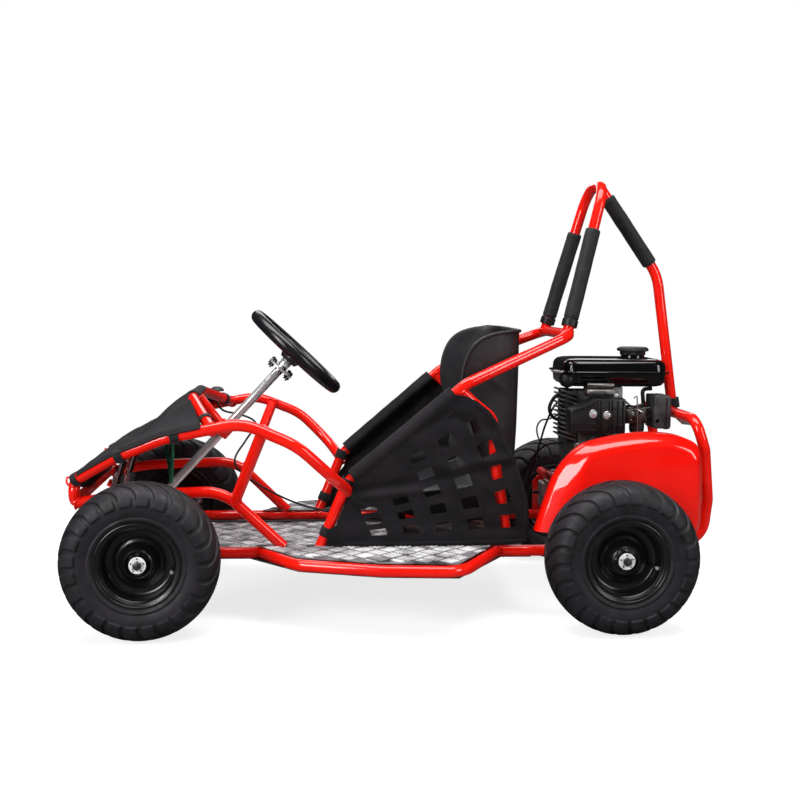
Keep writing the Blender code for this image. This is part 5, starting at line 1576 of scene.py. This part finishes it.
sleeve = lathe([(0.0070, -0.0295), (0.0125, -0.0295), (0.0135, -0.0315), (0.0135, -0.0400),
                (0.0120, -0.0410), (0.0120, -0.0430), (0.0135, -0.0440), (0.0135, -0.0520),
                (0.0070, -0.0525)], STEER_CENTRE, COLUMN_UP, 48)
plate = on_axis(0.0520, 0.0562, 0.0335, 48)
weld_bead = on_axis(0.0560, 0.0600, 0.0125, 40, 0.0018)
shaft = on_axis(0.0540, 0.5200, 0.0105, 64)
groove = block((-0.0009, -0.004, -0.150), (0.0009, 0.004, 0.150), 0.0001)
groove.matrix_world = (Matrix.Translation(on_column(0.0105, -82, 0.236))
                       @ (COLUMN_TURN.to_matrix() @ Matrix.Rotation(math.radians(8), 3, "Z")).to_4x4())
smooth(cut(shaft, groove), 40)
pitman = slab([(-0.014, -0.009), (-0.009, -0.0125), (0.010, -0.0125), (0.040, -0.0085), (0.043, -0.004),
               (0.043, 0.004), (0.040, 0.0085), (0.010, 0.0125), (-0.009, 0.0125), (-0.014, 0.009)],
              0.0, 0.0030)
side_turn = Matrix((Vector((COLUMN_UP.z, 0, -COLUMN_UP.x)), COLUMN_UP, Vector((0, 1, 0)))).transposed()
pitman.matrix_world = Matrix.Translation(STEER_CENTRE - COLUMN_UP * 0.468) @ side_turn.to_4x4()
column = joined(shaft, sleeve, plate, weld_bead, pitman)
outward(column, 0.0000001)
dressed(column, "chromed_column", "steering", chrome, "chrome", "steering_column")

studs = []
for angle in (-80, -20, 40, 100, 160, 220):
    spot = on_column(0.0285, angle, 0.0562)
    studs.append(bolt(spot, -COLUMN_UP, 0.0100, 0.0060, False))
    studs.append(rod(spot - COLUMN_UP * 0.004, spot - COLUMN_UP * 0.0120, 0.0022, 12))
    studs.append(bolt(on_column(0.0285, angle, 0.0520), COLUMN_UP, 0.0100, 0.0060, False))
dressed(joined(*studs), "steering_studs", "steering", black_paint, "steel")
print("steering dressed")

# %% [markdown]
# ## Engine
#
# The engine is an air-cooled single. Its block is cast alloy with a column of slanted fins on the
# head, a round recoil housing with louvres on the far side, and cover bolts. Many fins are one
# plate copied up the head.

# %% Block, head and recoil housing
CRANK = Vector((0.500, 0.0, 0.362))
crankcase = block((0.425, -0.085, 0.2815), (0.552, 0.085, 0.375), 0.008, 3)
barrel_part = block((0.436, -0.072, 0.370), (0.548, 0.078, 0.440), 0.006, 3)
side_cover = lathe([(0, 0), (0.052, 0), (0.056, 0.004), (0.056, 0.010), (0.050, 0.014), (0.026, 0.016),
                    (0.024, 0.022), (0, 0.022)], CRANK + Vector((0, -0.083, -0.016)), (0, -1, 0), 56)
stay = block((0.478, -0.066, 0.435), (0.543, 0.066, 0.5072), 0.004)
head_core = block((0.424, -0.060, 0.380), (0.480, 0.014, 0.497), 0.004)
recoil = lathe([(0.0, -0.022), (0.070, -0.022), (0.072, -0.019), (0.072, 0.012), (0.066, 0.020),
                (0.030, 0.022), (0.028, 0.0205), (0, 0.0205)], (0.5, 0.102, 0.362), (0, 1, 0), 72)
vents = []
for i in range(14):
    angle = 2 * math.pi * i / 14
    spot = Vector((0.5 + 0.049 * math.cos(angle), 0.1225, 0.362 + 0.049 * math.sin(angle)))
    vent = block((-0.013, -0.006, -0.0028), (0.013, 0.006, 0.0028), 0.0008)
    vent.matrix_world = Matrix.Translation(spot) @ Matrix.Rotation(-angle, 4, "Y")
    vents.append(vent)
cut(recoil, *vents)
crank_end = rod((0.5, -0.095, 0.362), (0.5, -0.1348, 0.362), 0.0088, 32)
engine = joined(crankcase, barrel_part, side_cover, stay, head_core, smooth(recoil, 35), crank_end)
dressed(engine, "engine_castings", "frame", engine_alloy, "alloy", "engine_block")

fins = []
for i in range(11):
    z = 0.3790 + 0.0108 * i
    fins.append(slab([(0.3935, z + 0.0095), (0.3945, z + 0.0125), (0.3985, z + 0.0130), (0.4310, z + 0.0020),
                      (0.4310, z - 0.0018)], -0.0265, 0.0465, 0.0007))
dressed(joined(*fins), "head_fins", "frame", engine_alloy, "alloy")
# Painted shade: a black block between the fins stands in for the shade in the gaps between them.
fin_gap_shade_block = block((0.4035, -0.0690, 0.380), (0.4300, 0.0150, 0.4985), 0.003)
dressed(fin_gap_shade_block, "head_shroud", "frame", heat_paint, "black_paint")

bolts = [bolt((x, -0.0852, z), (0, -1, 0), 0.009, 0.005)
         for x in (0.4345, 0.543) for z in (0.293, 0.330, 0.366)]
bolts += [bolt((0.5 + 0.064 * c, 0.1236 - 0.0022, 0.362 + 0.064 * s), (0, 1, 0), 0.007, 0.004, False)
          for c, s in ((0.71, 0.71), (-0.71, 0.71), (0.71, -0.71), (-0.71, -0.71))]
bolts += [bolt((x, y, 0.2812), (0, 0, 1), 0.012, 0.006) for x in (0.408, 0.563) for y in (-0.06, 0.06)]
dressed(joined(*bolts), "engine_bolts", "frame", zinc, "steel")

# %% [markdown]
# The tank is two pressed shells with a flange between them. Its rings are rounded rectangles, and
# the upper shell bulges. The cap has a plate above a knurled ring; each ridge of the knurl is a
# corner of one profile.

# %% Tank and cap
CORNER_POINTS = 20


def tank_ring(inset, z):
    half_x, half_y, corner = 0.1325 - inset, 0.093 - inset, 0.036 - inset * 0.6
    ring = []
    for k, (sx, sy) in enumerate(((1, 1), (-1, 1), (-1, -1), (1, -1))):
        for j in range(CORNER_POINTS):
            angle = math.radians(90 * (k + j / (CORNER_POINTS - 1)))
            ring.append(Vector((0.5225 + sx * (half_x - corner) + corner * math.cos(angle),
                                sy * (half_y - corner) + corner * math.sin(angle), z)))
    return ring + [ring[0].copy()]


TANK_RINGS = [(0.085, 0.5077), (0.026, 0.5077), (0.017, 0.5100), (0.010, 0.5170), (0.008, 0.5385),
              (0.0070, 0.5391), (0.0008, 0.5392), (0.0, 0.5400), (0.0, 0.5424), (0.0008, 0.5432),
              (0.0070, 0.5434), (0.0080, 0.5442), (0.0090, 0.5580), (0.0120, 0.5650), (0.0180, 0.5700),
              (0.0280, 0.5726), (0.0450, 0.5740), (0.085, 0.5745)]
tank = grid_piece([tank_ring(inset, z) for inset, z in TANK_RINGS])
edit(tank)
bpy.ops.mesh.remove_doubles(threshold=0.00001)
bpy.ops.mesh.select_all(action="DESELECT")
bpy.ops.mesh.select_non_manifold()
bpy.ops.mesh.edge_face_add()
leave_edit()
outward(tank)
neck = lathe([(0, -0.004), (0.030, -0.004), (0.0285, 0.001), (0.0280, 0.0045), (0, 0.0045)],
             (0.582, 0, 0.5742), (0, 0, 1), 48)
dressed(joined(smooth(tank, 40), neck), "pressed_tank", "frame", black_paint, "black_paint", "fuel_tank")

ear = slab([(0.376, 0.5395), (0.376, 0.5435), (0.384, 0.5450), (0.398, 0.5435), (0.398, 0.5395)],
           -0.052, 0.022, 0.001)
dressed(ear, "tank_ear", "frame", zinc, "steel")
bulb = lathe([(0, 0.018), (0.010, 0.017), (0.017, 0.010), (0.0195, 0.0), (0.0185, -0.008), (0.013, -0.015),
              (0.005, -0.0185), (0, -0.019)], (0.408, -0.064, 0.5235), (0, 0, 1), 40, 60)
dressed(bulb, "tank_bulb", "frame", cable_rubber, "rubber")

cap = lathe([(0, 0), (0.031, 0), (0.0350, -0.0018), (0.0375, -0.0050), (0.0375, -0.0088),
             (0.0330, -0.0105), (0.0300, -0.0110), (0.0300, -0.0185), (0.0285, -0.0195), (0, -0.0195)],
            (0.582, 0, 0.5990), (0, 0, 1), 160, 50)
for vertex in cap.data.vertices:
    away = Vector((vertex.co.x - 0.582, vertex.co.y, 0))
    if away.length > 0.029:
        turn = round(math.atan2(away.y, away.x) / (2 * math.pi) * 160)
        vertex.co += away.normalized() * (0.0006 if turn % 4 < 2 else -0.0006)
dressed(cap, "knurled_cap", "filler_cap", black_plastic, "black_plastic", "fuel_cap")

# %% [markdown]
# The muffler is a pressed can with a seam, behind a black guard. The guard's face has upright ribs,
# cross ribs and a raised panel; two plated bolts hold it.

# %% Muffler and guard
guard_line = [(0.397, 0.406), (0.5255, 0.406), (0.5255, 0.486), (0.452, 0.486), (0.442, 0.479),
              (0.397, 0.460)]
guard = slab(guard_line, -0.132, 0.0255, 0.003)
ribs = [block((x - 0.0013, -0.1605, low), (x + 0.0013, -0.155, high), 0.0006)
        for x, low, high in ((0.462, 0.409, 0.483), (0.469, 0.409, 0.483), (0.487, 0.412, 0.483),
                             (0.495, 0.412, 0.483), (0.508, 0.412, 0.483), (0.520, 0.412, 0.483))]
ribs += [block((0.495, -0.1600, z - 0.0010), (0.522, -0.155, z + 0.0010), 0.0005)
         for z in (0.425, 0.447, 0.465)]
ribs += [block((0.401, -0.1600, z - 0.0010), (0.455, -0.155, z + 0.0010), 0.0005) for z in (0.414, 0.430)]
lip = slab([(0.400, 0.4575), (0.4435, 0.4755), (0.4545, 0.4825), (0.4545, 0.4790), (0.4445, 0.4722),
            (0.400, 0.4540)], -0.158, 0.0022, 0.0006)
dressed(joined(guard, lip, *ribs), "muffler_guard", "frame", heat_paint, "black_paint", "muffler")
can = block((0.4375, -0.138, 0.4885), (0.5100, -0.100, 0.5068), 0.0075, 4)
seam = block((0.4345, -0.1395, 0.4965), (0.5130, -0.0985, 0.4990), 0.0008)
pipe = rod((0.455, -0.1064, 0.430), (0.455, -0.0860, 0.430), 0.0100, 32)
upper = rod((0.4425, -0.1180, 0.5135), (0.5065, -0.1180, 0.5135), 0.0060, 28, 0.002)
dressed(joined(can, seam, pipe, upper), "muffler_can", "frame", dark_steel, "steel")
dressed(joined(bolt((0.4488, -0.1575, 0.4516), (0, -1, 0), 0.010, 0.005),
               bolt((0.4815, -0.1575, 0.4490), (0, -1, 0), 0.010, 0.005),
               bolt((0.5055, -0.1380, 0.4930), (0, -1, 0), 0.008, 0.004, False)),
        "guard_bolts", "frame", chrome, "chrome")

# %% [markdown]
# The carburettor sits between head and air box, with its bowl, levers, a return rod and a small
# breather hose. The air box has a flat front face with one hole, and a rounded rear half.

# %% Carburettor and air box
face_half = block((0.612, -0.0945, 0.410), (0.640, -0.018, 0.4880), 0.003, 3)
rear_half = block((0.636, -0.0900, 0.4070), (0.6555, -0.016, 0.4885), 0.0085, 4)
seam = block((0.6365, -0.0935, 0.4085), (0.6395, -0.0165, 0.4887), 0.001)
bpy.ops.mesh.primitive_cylinder_add(vertices=32, radius=0.0045, depth=0.03,
                                    location=(0.6195, -0.095, 0.4285), rotation=(math.pi / 2, 0, 0))
cut(face_half, bpy.context.object)
ring = lathe([(0.0046, 0), (0.0066, 0), (0.0066, 0.001), (0.0046, 0.001)],
             (0.6195, -0.0945, 0.4285), OUTWARD, 32)
dressed(joined(face_half, rear_half, seam, ring), "air_box_shell", "frame", grey_plastic,
        "black_plastic", "air_box")
body = block((0.5535, -0.072, 0.4200), (0.612, -0.032, 0.4600), 0.004, 3)
bowl = lathe([(0, -0.015), (0.012, -0.015), (0.0165, -0.012), (0.018, -0.004), (0.018, 0.012),
              (0.0195, 0.013), (0.0195, 0.0155), (0, 0.0155)], (0.582, -0.052, 0.4100), (0, 0, 1), 40)
throat = rod((0.553, -0.052, 0.440), (0.570, -0.052, 0.440), 0.0225, 32, 0.001)
lever = slab([(0.566, 0.462), (0.590, 0.470), (0.592, 0.466), (0.568, 0.457)], -0.074, 0.001, 0)
screws = [bolt((0.560 + 0.012 * k, -0.0722, 0.428 + 0.009 * (k % 3)), (0, -1, 0), 0.006, 0.004, False)
          for k in range(5)]
dressed(joined(body, bowl, throat, lever, *screws), "carburettor_body", "frame", dark_steel, "steel")
link = tube(bend([Vector(c) for c in ((0.566, -0.079, 0.481), (0.5735, -0.079, 0.4890),
                                      (0.5765, -0.079, 0.396), (0.572, -0.060, 0.388))], 0.004),
            0.0016, 10)
idle = tube(bend([Vector(c) for c in ((0.548, -0.079, 0.4535), (0.575, -0.079, 0.4550),
                                      (0.586, -0.079, 0.4480))], 0.004), 0.0011, 8)
dressed(joined(link, idle), "governor_rods", "frame", zinc, "steel")
elbow = tube(bend([Vector(c) for c in ((0.598, -0.050, 0.460), (0.594, -0.050, 0.5005),
                                       (0.617, -0.050, 0.5020))], 0.009), 0.0048, 20)
handle = block((0.4305, 0.1295, 0.4045), (0.4435, 0.1425, 0.4455), 0.0045, 3)
for vertex in handle.data.vertices:
    vertex.co.x += (vertex.co.x - 0.437) * 0.10 * math.cos((vertex.co.z - 0.425) * 150)
dressed(handle, "pull_handle", "starter", black_plastic, "black_plastic", "recoil_handle")
fuel_line = tube(through([Vector(c) for c in ((0.410, -0.045, 0.448), (0.3743, -0.045, 0.4290),
                                              (0.352, -0.048, 0.4250), (0.3415, -0.050, 0.4110),
                                              (0.3415, -0.052, 0.3920), (0.350, -0.055, 0.3700))], 8),
                 0.0019, 14)
dressed(joined(elbow, fuel_line), "thin_hoses", "frame", cable_rubber, "rubber")
lead_route = [(0.4097, 0.4900), (0.4000, 0.4900), (0.3820, 0.4790), (0.3710, 0.4550), (0.3780, 0.4340),
              (0.3980, 0.4240), (0.4097, 0.4240)]
lead = tube(through([Vector((x, -0.045, z)) for x, z in lead_route], 10), 0.0042, 20)
boots = [lathe([(0, 0), (0.0062, 0), (0.0066, 0.003), (0.0058, 0.014), (0.0045, 0.016), (0, 0.016)],
               (0.4100, -0.045, z), (-1, 0, 0), 24) for z in (0.490, 0.424)]
dressed(joined(lead, *boots), "spark_lead", "frame", cable_rubber, "rubber", "plug_lead")
print("engine dressed")

# %% [markdown]
# ## Chain drive and brake
#
# The chain is one link, two plates and a roller, copied along the loop at its pitch, every second
# link narrower. The sprocket's teeth come from its outline. Holes in sprocket and disc are drilled.

# %% Drilled and toothed discs
def drilled(piece, spots, radius, y):
    """Round holes through a disc on the rear axle, at (distance, angle) spots."""
    drills = []
    for distance, angle in spots:
        way = math.radians(angle)
        spot = (AXLE.x + distance * math.cos(way), y, AXLE.z + distance * math.sin(way))
        drills.append(rod((spot[0], y - 0.02, spot[2]), (spot[0], y + 0.02, spot[2]), radius, 20, 0.0001))
    return smooth(cut(piece, *drills))


def axle_hub(y):
    """The collar that holds a disc on the rear axle."""
    return lathe([(0.0127, -0.020), (0.026, -0.020), (0.028, -0.018), (0.028, 0.018),
                  (0.026, 0.020), (0.0127, 0.020)], (AXLE.x, y, AXLE.z), (0, 1, 0), 48)


TEETH, TOOTH_POINTS = 33, 6
teeth = []
for i in range(TEETH * TOOTH_POINTS):
    angle = 2 * math.pi * i / (TEETH * TOOTH_POINTS)
    reach = (0.0585, 0.0590, 0.0608, 0.0617, 0.0608, 0.0590)[i % TOOTH_POINTS]
    teeth.append((AXLE.x + reach * math.cos(angle), AXLE.z + reach * math.sin(angle)))
sprocket = drilled(slab(teeth, -0.120, 0.0025, 0.0006), [(0.043, 72 * k) for k in range(5)], 0.0100, -0.120)
lugs = [bolt((AXLE.x + 0.0235 * math.cos(k * 1.571), -0.140, AXLE.z + 0.0235 * math.sin(k * 1.571)),
             (0, -1, 0), 0.007, 0.004, False) for k in range(4)]
dressed(joined(sprocket, axle_hub(-0.120), *lugs), "toothed_sprocket", "rear_wheels", dark_steel,
        "steel", "axle_sprocket")
rotor = rod((AXLE.x, 0.118, AXLE.z), (AXLE.x, 0.122, AXLE.z), 0.075, 96, 0.0005)
rotor = drilled(rotor, [(0.058 + 0.009 * (k % 2), 15 * k) for k in range(24)], 0.0030, 0.120)
dressed(joined(rotor, axle_hub(0.120)), "drilled_disc", "rear_wheels", brushed_disc, "steel", "brake_disc")

# %% Chain
LOW, HIGH = Vector((0.468, -0.12, 0.165)), Vector((0.500, -0.12, 0.362))
way = HIGH - LOW
LOW_RADIUS, HIGH_RADIUS = 0.066, 0.024
lean, spread = math.atan2(way.z, way.x), math.acos((LOW_RADIUS - HIGH_RADIUS) / way.length)
route = []
for centre, radius, start, sweep in (
        (LOW, LOW_RADIUS, lean + spread, 2 * math.pi - 2 * spread),
        (HIGH, HIGH_RADIUS, lean - spread, 2 * spread)):
    for k in range(41):
        angle = start + sweep * k / 40
        route.append(centre + Vector((radius * math.cos(angle), 0, radius * math.sin(angle))))
route.append(route[0])
spots = evenly(route, 53)
pitch = (spots[1] - spots[0]).length
stadium = [(s * pitch / 2 + 0.0037 * math.cos(a), 0.0037 * math.sin(a))
           for s, low in ((1, -90), (-1, 90)) for a in (math.radians(low + 45 * j) for j in range(5))]
links = []
for wide in (0, 1):
    plates = [slab(stadium, s * (0.0028 + 0.0011 * wide), 0.0005, 0) for s in (-1, 1)]
    pin = rod((pitch / 2, -0.0027, 0), (pitch / 2, 0.0027, 0), 0.0030, 10, 0.0001)
    links.append(joined(*plates, pin))
chain = []
for i, (here, there) in enumerate(zip(spots, spots[1:])):
    link = copied(links[i % 2])
    turn = math.atan2(there.z - here.z, there.x - here.x)
    link.matrix_world = Matrix.Translation((here + there) / 2) @ Matrix.Rotation(-turn, 4, "Y")
    chain.append(settle(link))
for link in links:
    bpy.data.objects.remove(link)
dressed(joined(*chain), "roller_chain", "frame", dark_steel, "steel", "drive_chain")
print("chain links:", len(spots) - 1)

# %% [markdown]
# ## Controls
#
# Each cable is one rubber sheath along a smooth curve through its clips. The kill switch is a lathe
# body with a domed button. Ribbed rubber pads lie on the pedals' plates.

# %% Cables
CABLES = {
    "kill_lead": [
        (-.4430, .2967, .4470), (-.4430, .2890, .4470), (-.436, .2780, .4250), (-.420, .268, .4120),
        (-.385, .262, .4050), (-.350, .262, .3920), (-.340, .258, .3740), (-.3650, .250, .3370),
        (-.3900, .200, .2900), (-.3500, .190, .2450), (-.250, .190, .1900), (-.150, .190, .1600),
        (-.050, .190, .1440), (.150, .188, .1440), (.300, .186, .1700), (.345, .180, .2400),
        (.365, .120, .3100), (.385, .060, .3500), (.410, .0600, .3560), (.4247, .0600, .3560)],
    "throttle_cable": [
        (-.6440, .1000, .1950), (-.620, .1000, .1950), (-.585, .115, .1950), (-.550, .115, .1900),
        (-.500, .130, .165), (-.430, .150, .144), (-.200, .172, .1405), (.100, .172, .1405),
        (.300, .165, .160), (.350, .165, .210), (.372, .160, .280), (.385, .130, .345),
        (.395, .105, .400), (.420, .098, .452), (.470, .100, .472), (.560, .080, .474),
        (.580, .030, .460), (.580, -.015, .4500), (.580, -.0297, .4500)],
    "brake_cable": [
        (-.6440, -.1000, .1950), (-.620, -.1000, .1950), (-.585, -.115, .1950), (-.550, -.115, .1900),
        (-.500, -.130, .165), (-.430, -.140, .144), (-.200, -.140, .1405), (.100, -.135, .1405),
        (.250, -.100, .1410), (.320, .000, .1450), (.350, .110, .1700), (.362, .1300, .210),
        (.370, .1300, .220), (.3847, .1300, .220)]}
for name, knots in CABLES.items():
    knots = [Vector(knot) for knot in knots]
    sheath = tube(through(knots, 8), 0.0026, 16)
    ends = []
    if name != "kill_lead":
        for start, ahead in ((knots[0], knots[1]), (knots[-1], knots[-2])):
            ends.append(lathe([(0, 0), (0.0036, 0), (0.0040, 0.001), (0.0040, 0.008), (0.0032, 0.009),
                               (0.0032, 0.013), (0, 0.013)], start, ahead - start, 20))
    dressed(joined(sheath, *ends), f"{name}_sheath", "frame", cable_rubber, "rubber", name)

# %% Kill switch and pedals
KEY = Vector((-0.4430, 0.3120, 0.0))
housing = lathe([(0, 0.4300), (0.0120, 0.4300), (0.0150, 0.4335), (0.0150, 0.4440), (0.0158, 0.4450),
                 (0.0158, 0.4540), (0.0148, 0.4560), (0, 0.4560)], KEY, (0, 0, 1), 48)
for vertex in housing.data.vertices:
    if vertex.co.z < 0.440 and abs(vertex.co.y - KEY.y) < 0.012:
        vertex.co.z = max(vertex.co.z, 0.4360)
dressed(housing, "switch_housing", "frame", black_plastic, "black_plastic", "kill_switch")
button = lathe([(0, 0), (0.006, -0.0004), (0.0115, -0.0020), (0.0155, -0.0050), (0.0176, -0.0090),
                (0.0180, -0.0115), (0.0172, -0.0125), (0, -0.0125)], KEY + Vector((0, 0, 0.473)),
               (0, 0, 1), 56, 60)
dressed(button, "stop_dome", "stop_button", grey_plastic, "black_plastic", "kill_button")
for name, side in (("throttle", 1), ("brake", -1)):
    pad = [block((0.0032, -0.024, -0.031), (0.0062, 0.024, 0.031), 0.0012)]
    pad += [block((0.0055, -0.021, z - 0.0024), (0.0080, 0.021, z + 0.0024), 0.0009)
            for z in (-0.024, -0.012, 0.0, 0.012, 0.024)]
    pad = joined(*pad)
    pad.matrix_world = (Matrix.Translation((-0.632, 0.1 * side, 0.308))
                        @ Matrix.Rotation(math.radians(18), 4, "Y"))
    dressed(pad, f"{name}_pedal_pad", name, grip_rubber, "rubber")
print("controls dressed")

# %% Green sleeves
# Two lengths of green sleeve stand between the steering column and the near arch, as seen.
sleeves = [tube([Vector(place) for place in path], 0.0046, 14) for path in (
    ((-0.5245, -0.088, 0.378), (-0.5260, -0.089, 0.352), (-0.5215, -0.090, 0.330), (-0.5170, -0.091, 0.300)),
    ((-0.5125, -0.100, 0.376), (-0.5115, -0.101, 0.350), (-0.5130, -0.102, 0.320), (-0.5150, -0.103, 0.284)))]
dressed(joined(*sleeves), "green_sleeves", "frame", green_sleeve, "rubber")

# %% [markdown]
# ## Floor plate lugs and small fittings
#
# The tread plate carries raised bars in groups of five, each group turned a quarter from its
# neighbours. One group is shaped, then an array of it is laid over the plate and cut to the outline.
# A tread wing on each side lies on top of the rail and the side bar.

# %% Chequer lugs
FLOOR_SIDE = [(-0.530, 0.214), (-0.330, 0.214), (-0.222, 0.338), (-0.050, 0.395), (0.112, 0.407),
              (0.232, 0.214), (0.300, 0.214)]


def floor_half(x):
    for (x1, y1), (x2, y2) in zip(FLOOR_SIDE, FLOOR_SIDE[1:]):
        if x1 <= x <= x2:
            return y1 + (y2 - y1) * (x - x1) / (x2 - x1)
    return 0.0


TREAD = 0.029
WING_TOP = RAIL_Z + TUBE + 0.0026
PLATE_TOP, PLATE_HALF, PLATE_FRONT, PLATE_REAR = 0.1347, 0.1995, -0.528, 0.298
WING_INNER, EDGE_ROOM = 0.2045, 0.011
WING_EDGE = [(-0.320, 0.2035), (-0.226, 0.3300), (-0.052, 0.3880), (0.112, 0.4010), (0.221, 0.2035)]


def bar_groups(turn, shift):
    """Five flat-topped bars side by side, turned, then arrayed over the floor."""
    bars = []
    for k in range(5):
        bpy.ops.mesh.primitive_cylinder_add(vertices=6, radius=0.0182, depth=0.0018, end_fill_type="NGON",
                                            location=(0, 0.0074 * (k - 2), 0))
        bar = bpy.context.object
        for vertex in bar.data.vertices:
            vertex.co.y *= 0.112 if vertex.co.z < 0 else 0.070
            vertex.co.x *= 1.0 if vertex.co.z < 0 else 0.92
        bars.append(bar)
    group = joined(*bars)
    group.rotation_euler.z = math.radians(turn)
    settle(group)
    group.location = (-0.515 + shift, -0.406 + shift, 0.1355)
    settle(group)
    for offset, count in (((2 * TREAD, 0, 0), 15), ((0, 2 * TREAD, 0), 14)):
        rows = group.modifiers.new("rows", "ARRAY")
        rows.count = count
        rows.use_relative_offset = False
        rows.use_constant_offset = True
        rows.constant_offset_displace = offset
    settle(group)
    return group


field = joined(bar_groups(45, 0.0), bar_groups(-45, TREAD))
mesh = field.data
edit(field, "VERT", "DESELECT")
leave_edit()
for first in range(0, len(mesh.vertices), 12):
    bar = [mesh.vertices[first + k] for k in range(12)]
    reach = min(floor_half(vertex.co.x) - abs(vertex.co.y) for vertex in bar)
    inner, outer = min(abs(v.co.y) for v in bar), max(abs(v.co.y) for v in bar)
    front, rear = min(v.co.x for v in bar), max(v.co.x for v in bar)
    if inner > WING_INNER and reach > EDGE_ROOM:
        for vertex in bar:
            vertex.co.z += WING_TOP - PLATE_TOP
    elif outer > PLATE_HALF or front < PLATE_FRONT or rear > PLATE_REAR:
        for vertex in bar:
            vertex.select = True
bpy.ops.object.mode_set(mode="EDIT")
bpy.ops.mesh.delete(type="VERT")
bpy.ops.object.mode_set(mode="OBJECT")
dressed(field, "tread_bars", "frame", lug_alloy, "diamond_plate")
print("tread bars:", len(field.data.vertices) // 12)
for side, sign in SIDES:
    wing = slab([(x, -sign * y) for x, y in WING_EDGE], 0.0, 0.0010, 0.0004)
    wing.rotation_euler.x = math.radians(90)
    wing.location.z = WING_TOP - 0.0011
    dressed(wing, f"tread_wing_{side}", "frame", plate_alloy, "diamond_plate")

# %% Band and gusset
tie("brace_band", (0.6860, 0.0, 0.4640), ROLL_BRACE[-1] - ROLL_BRACE[-2], 0.024)
gusset = slab([(0.690, 0.448), (0.714, 0.436), (0.728, 0.424), (0.726, 0.410), (0.706, 0.412),
               (0.692, 0.424)], -0.0148, 0.0016, 0.0005)
dressed(gusset, "brace_gusset", "frame", zinc, "steel")

# %% [markdown]
# The nodes that stay as the CAD drew them get their finishes here.

# %% Finishes of the CAD's own nodes
KEPT = {"front_axle_beam": red_paint, "engine_mount": red_paint, "spindle_left": black_paint,
        "spindle_right": black_paint, "tie_rod_left": zinc, "tie_rod_right": zinc, "rear_axle": zinc,
        "brake_caliper": cast_alloy, "clutch_drum": dark_steel, "floor_plate": plate_alloy,
        "throttle_pedal": zinc, "brake_pedal": zinc}
for name, material in KEPT.items():
    mesh = bpy.data.objects[name].data
    mesh.materials.clear()
    mesh.materials.append(material)
left = [o.name for o in bpy.data.objects if o.type == "MESH" and o.data.materials
        and o.data.materials[0] and o.data.materials[0].name.startswith("cad")]
print("nodes kept:", len(KEPT), "without a finish:", left)
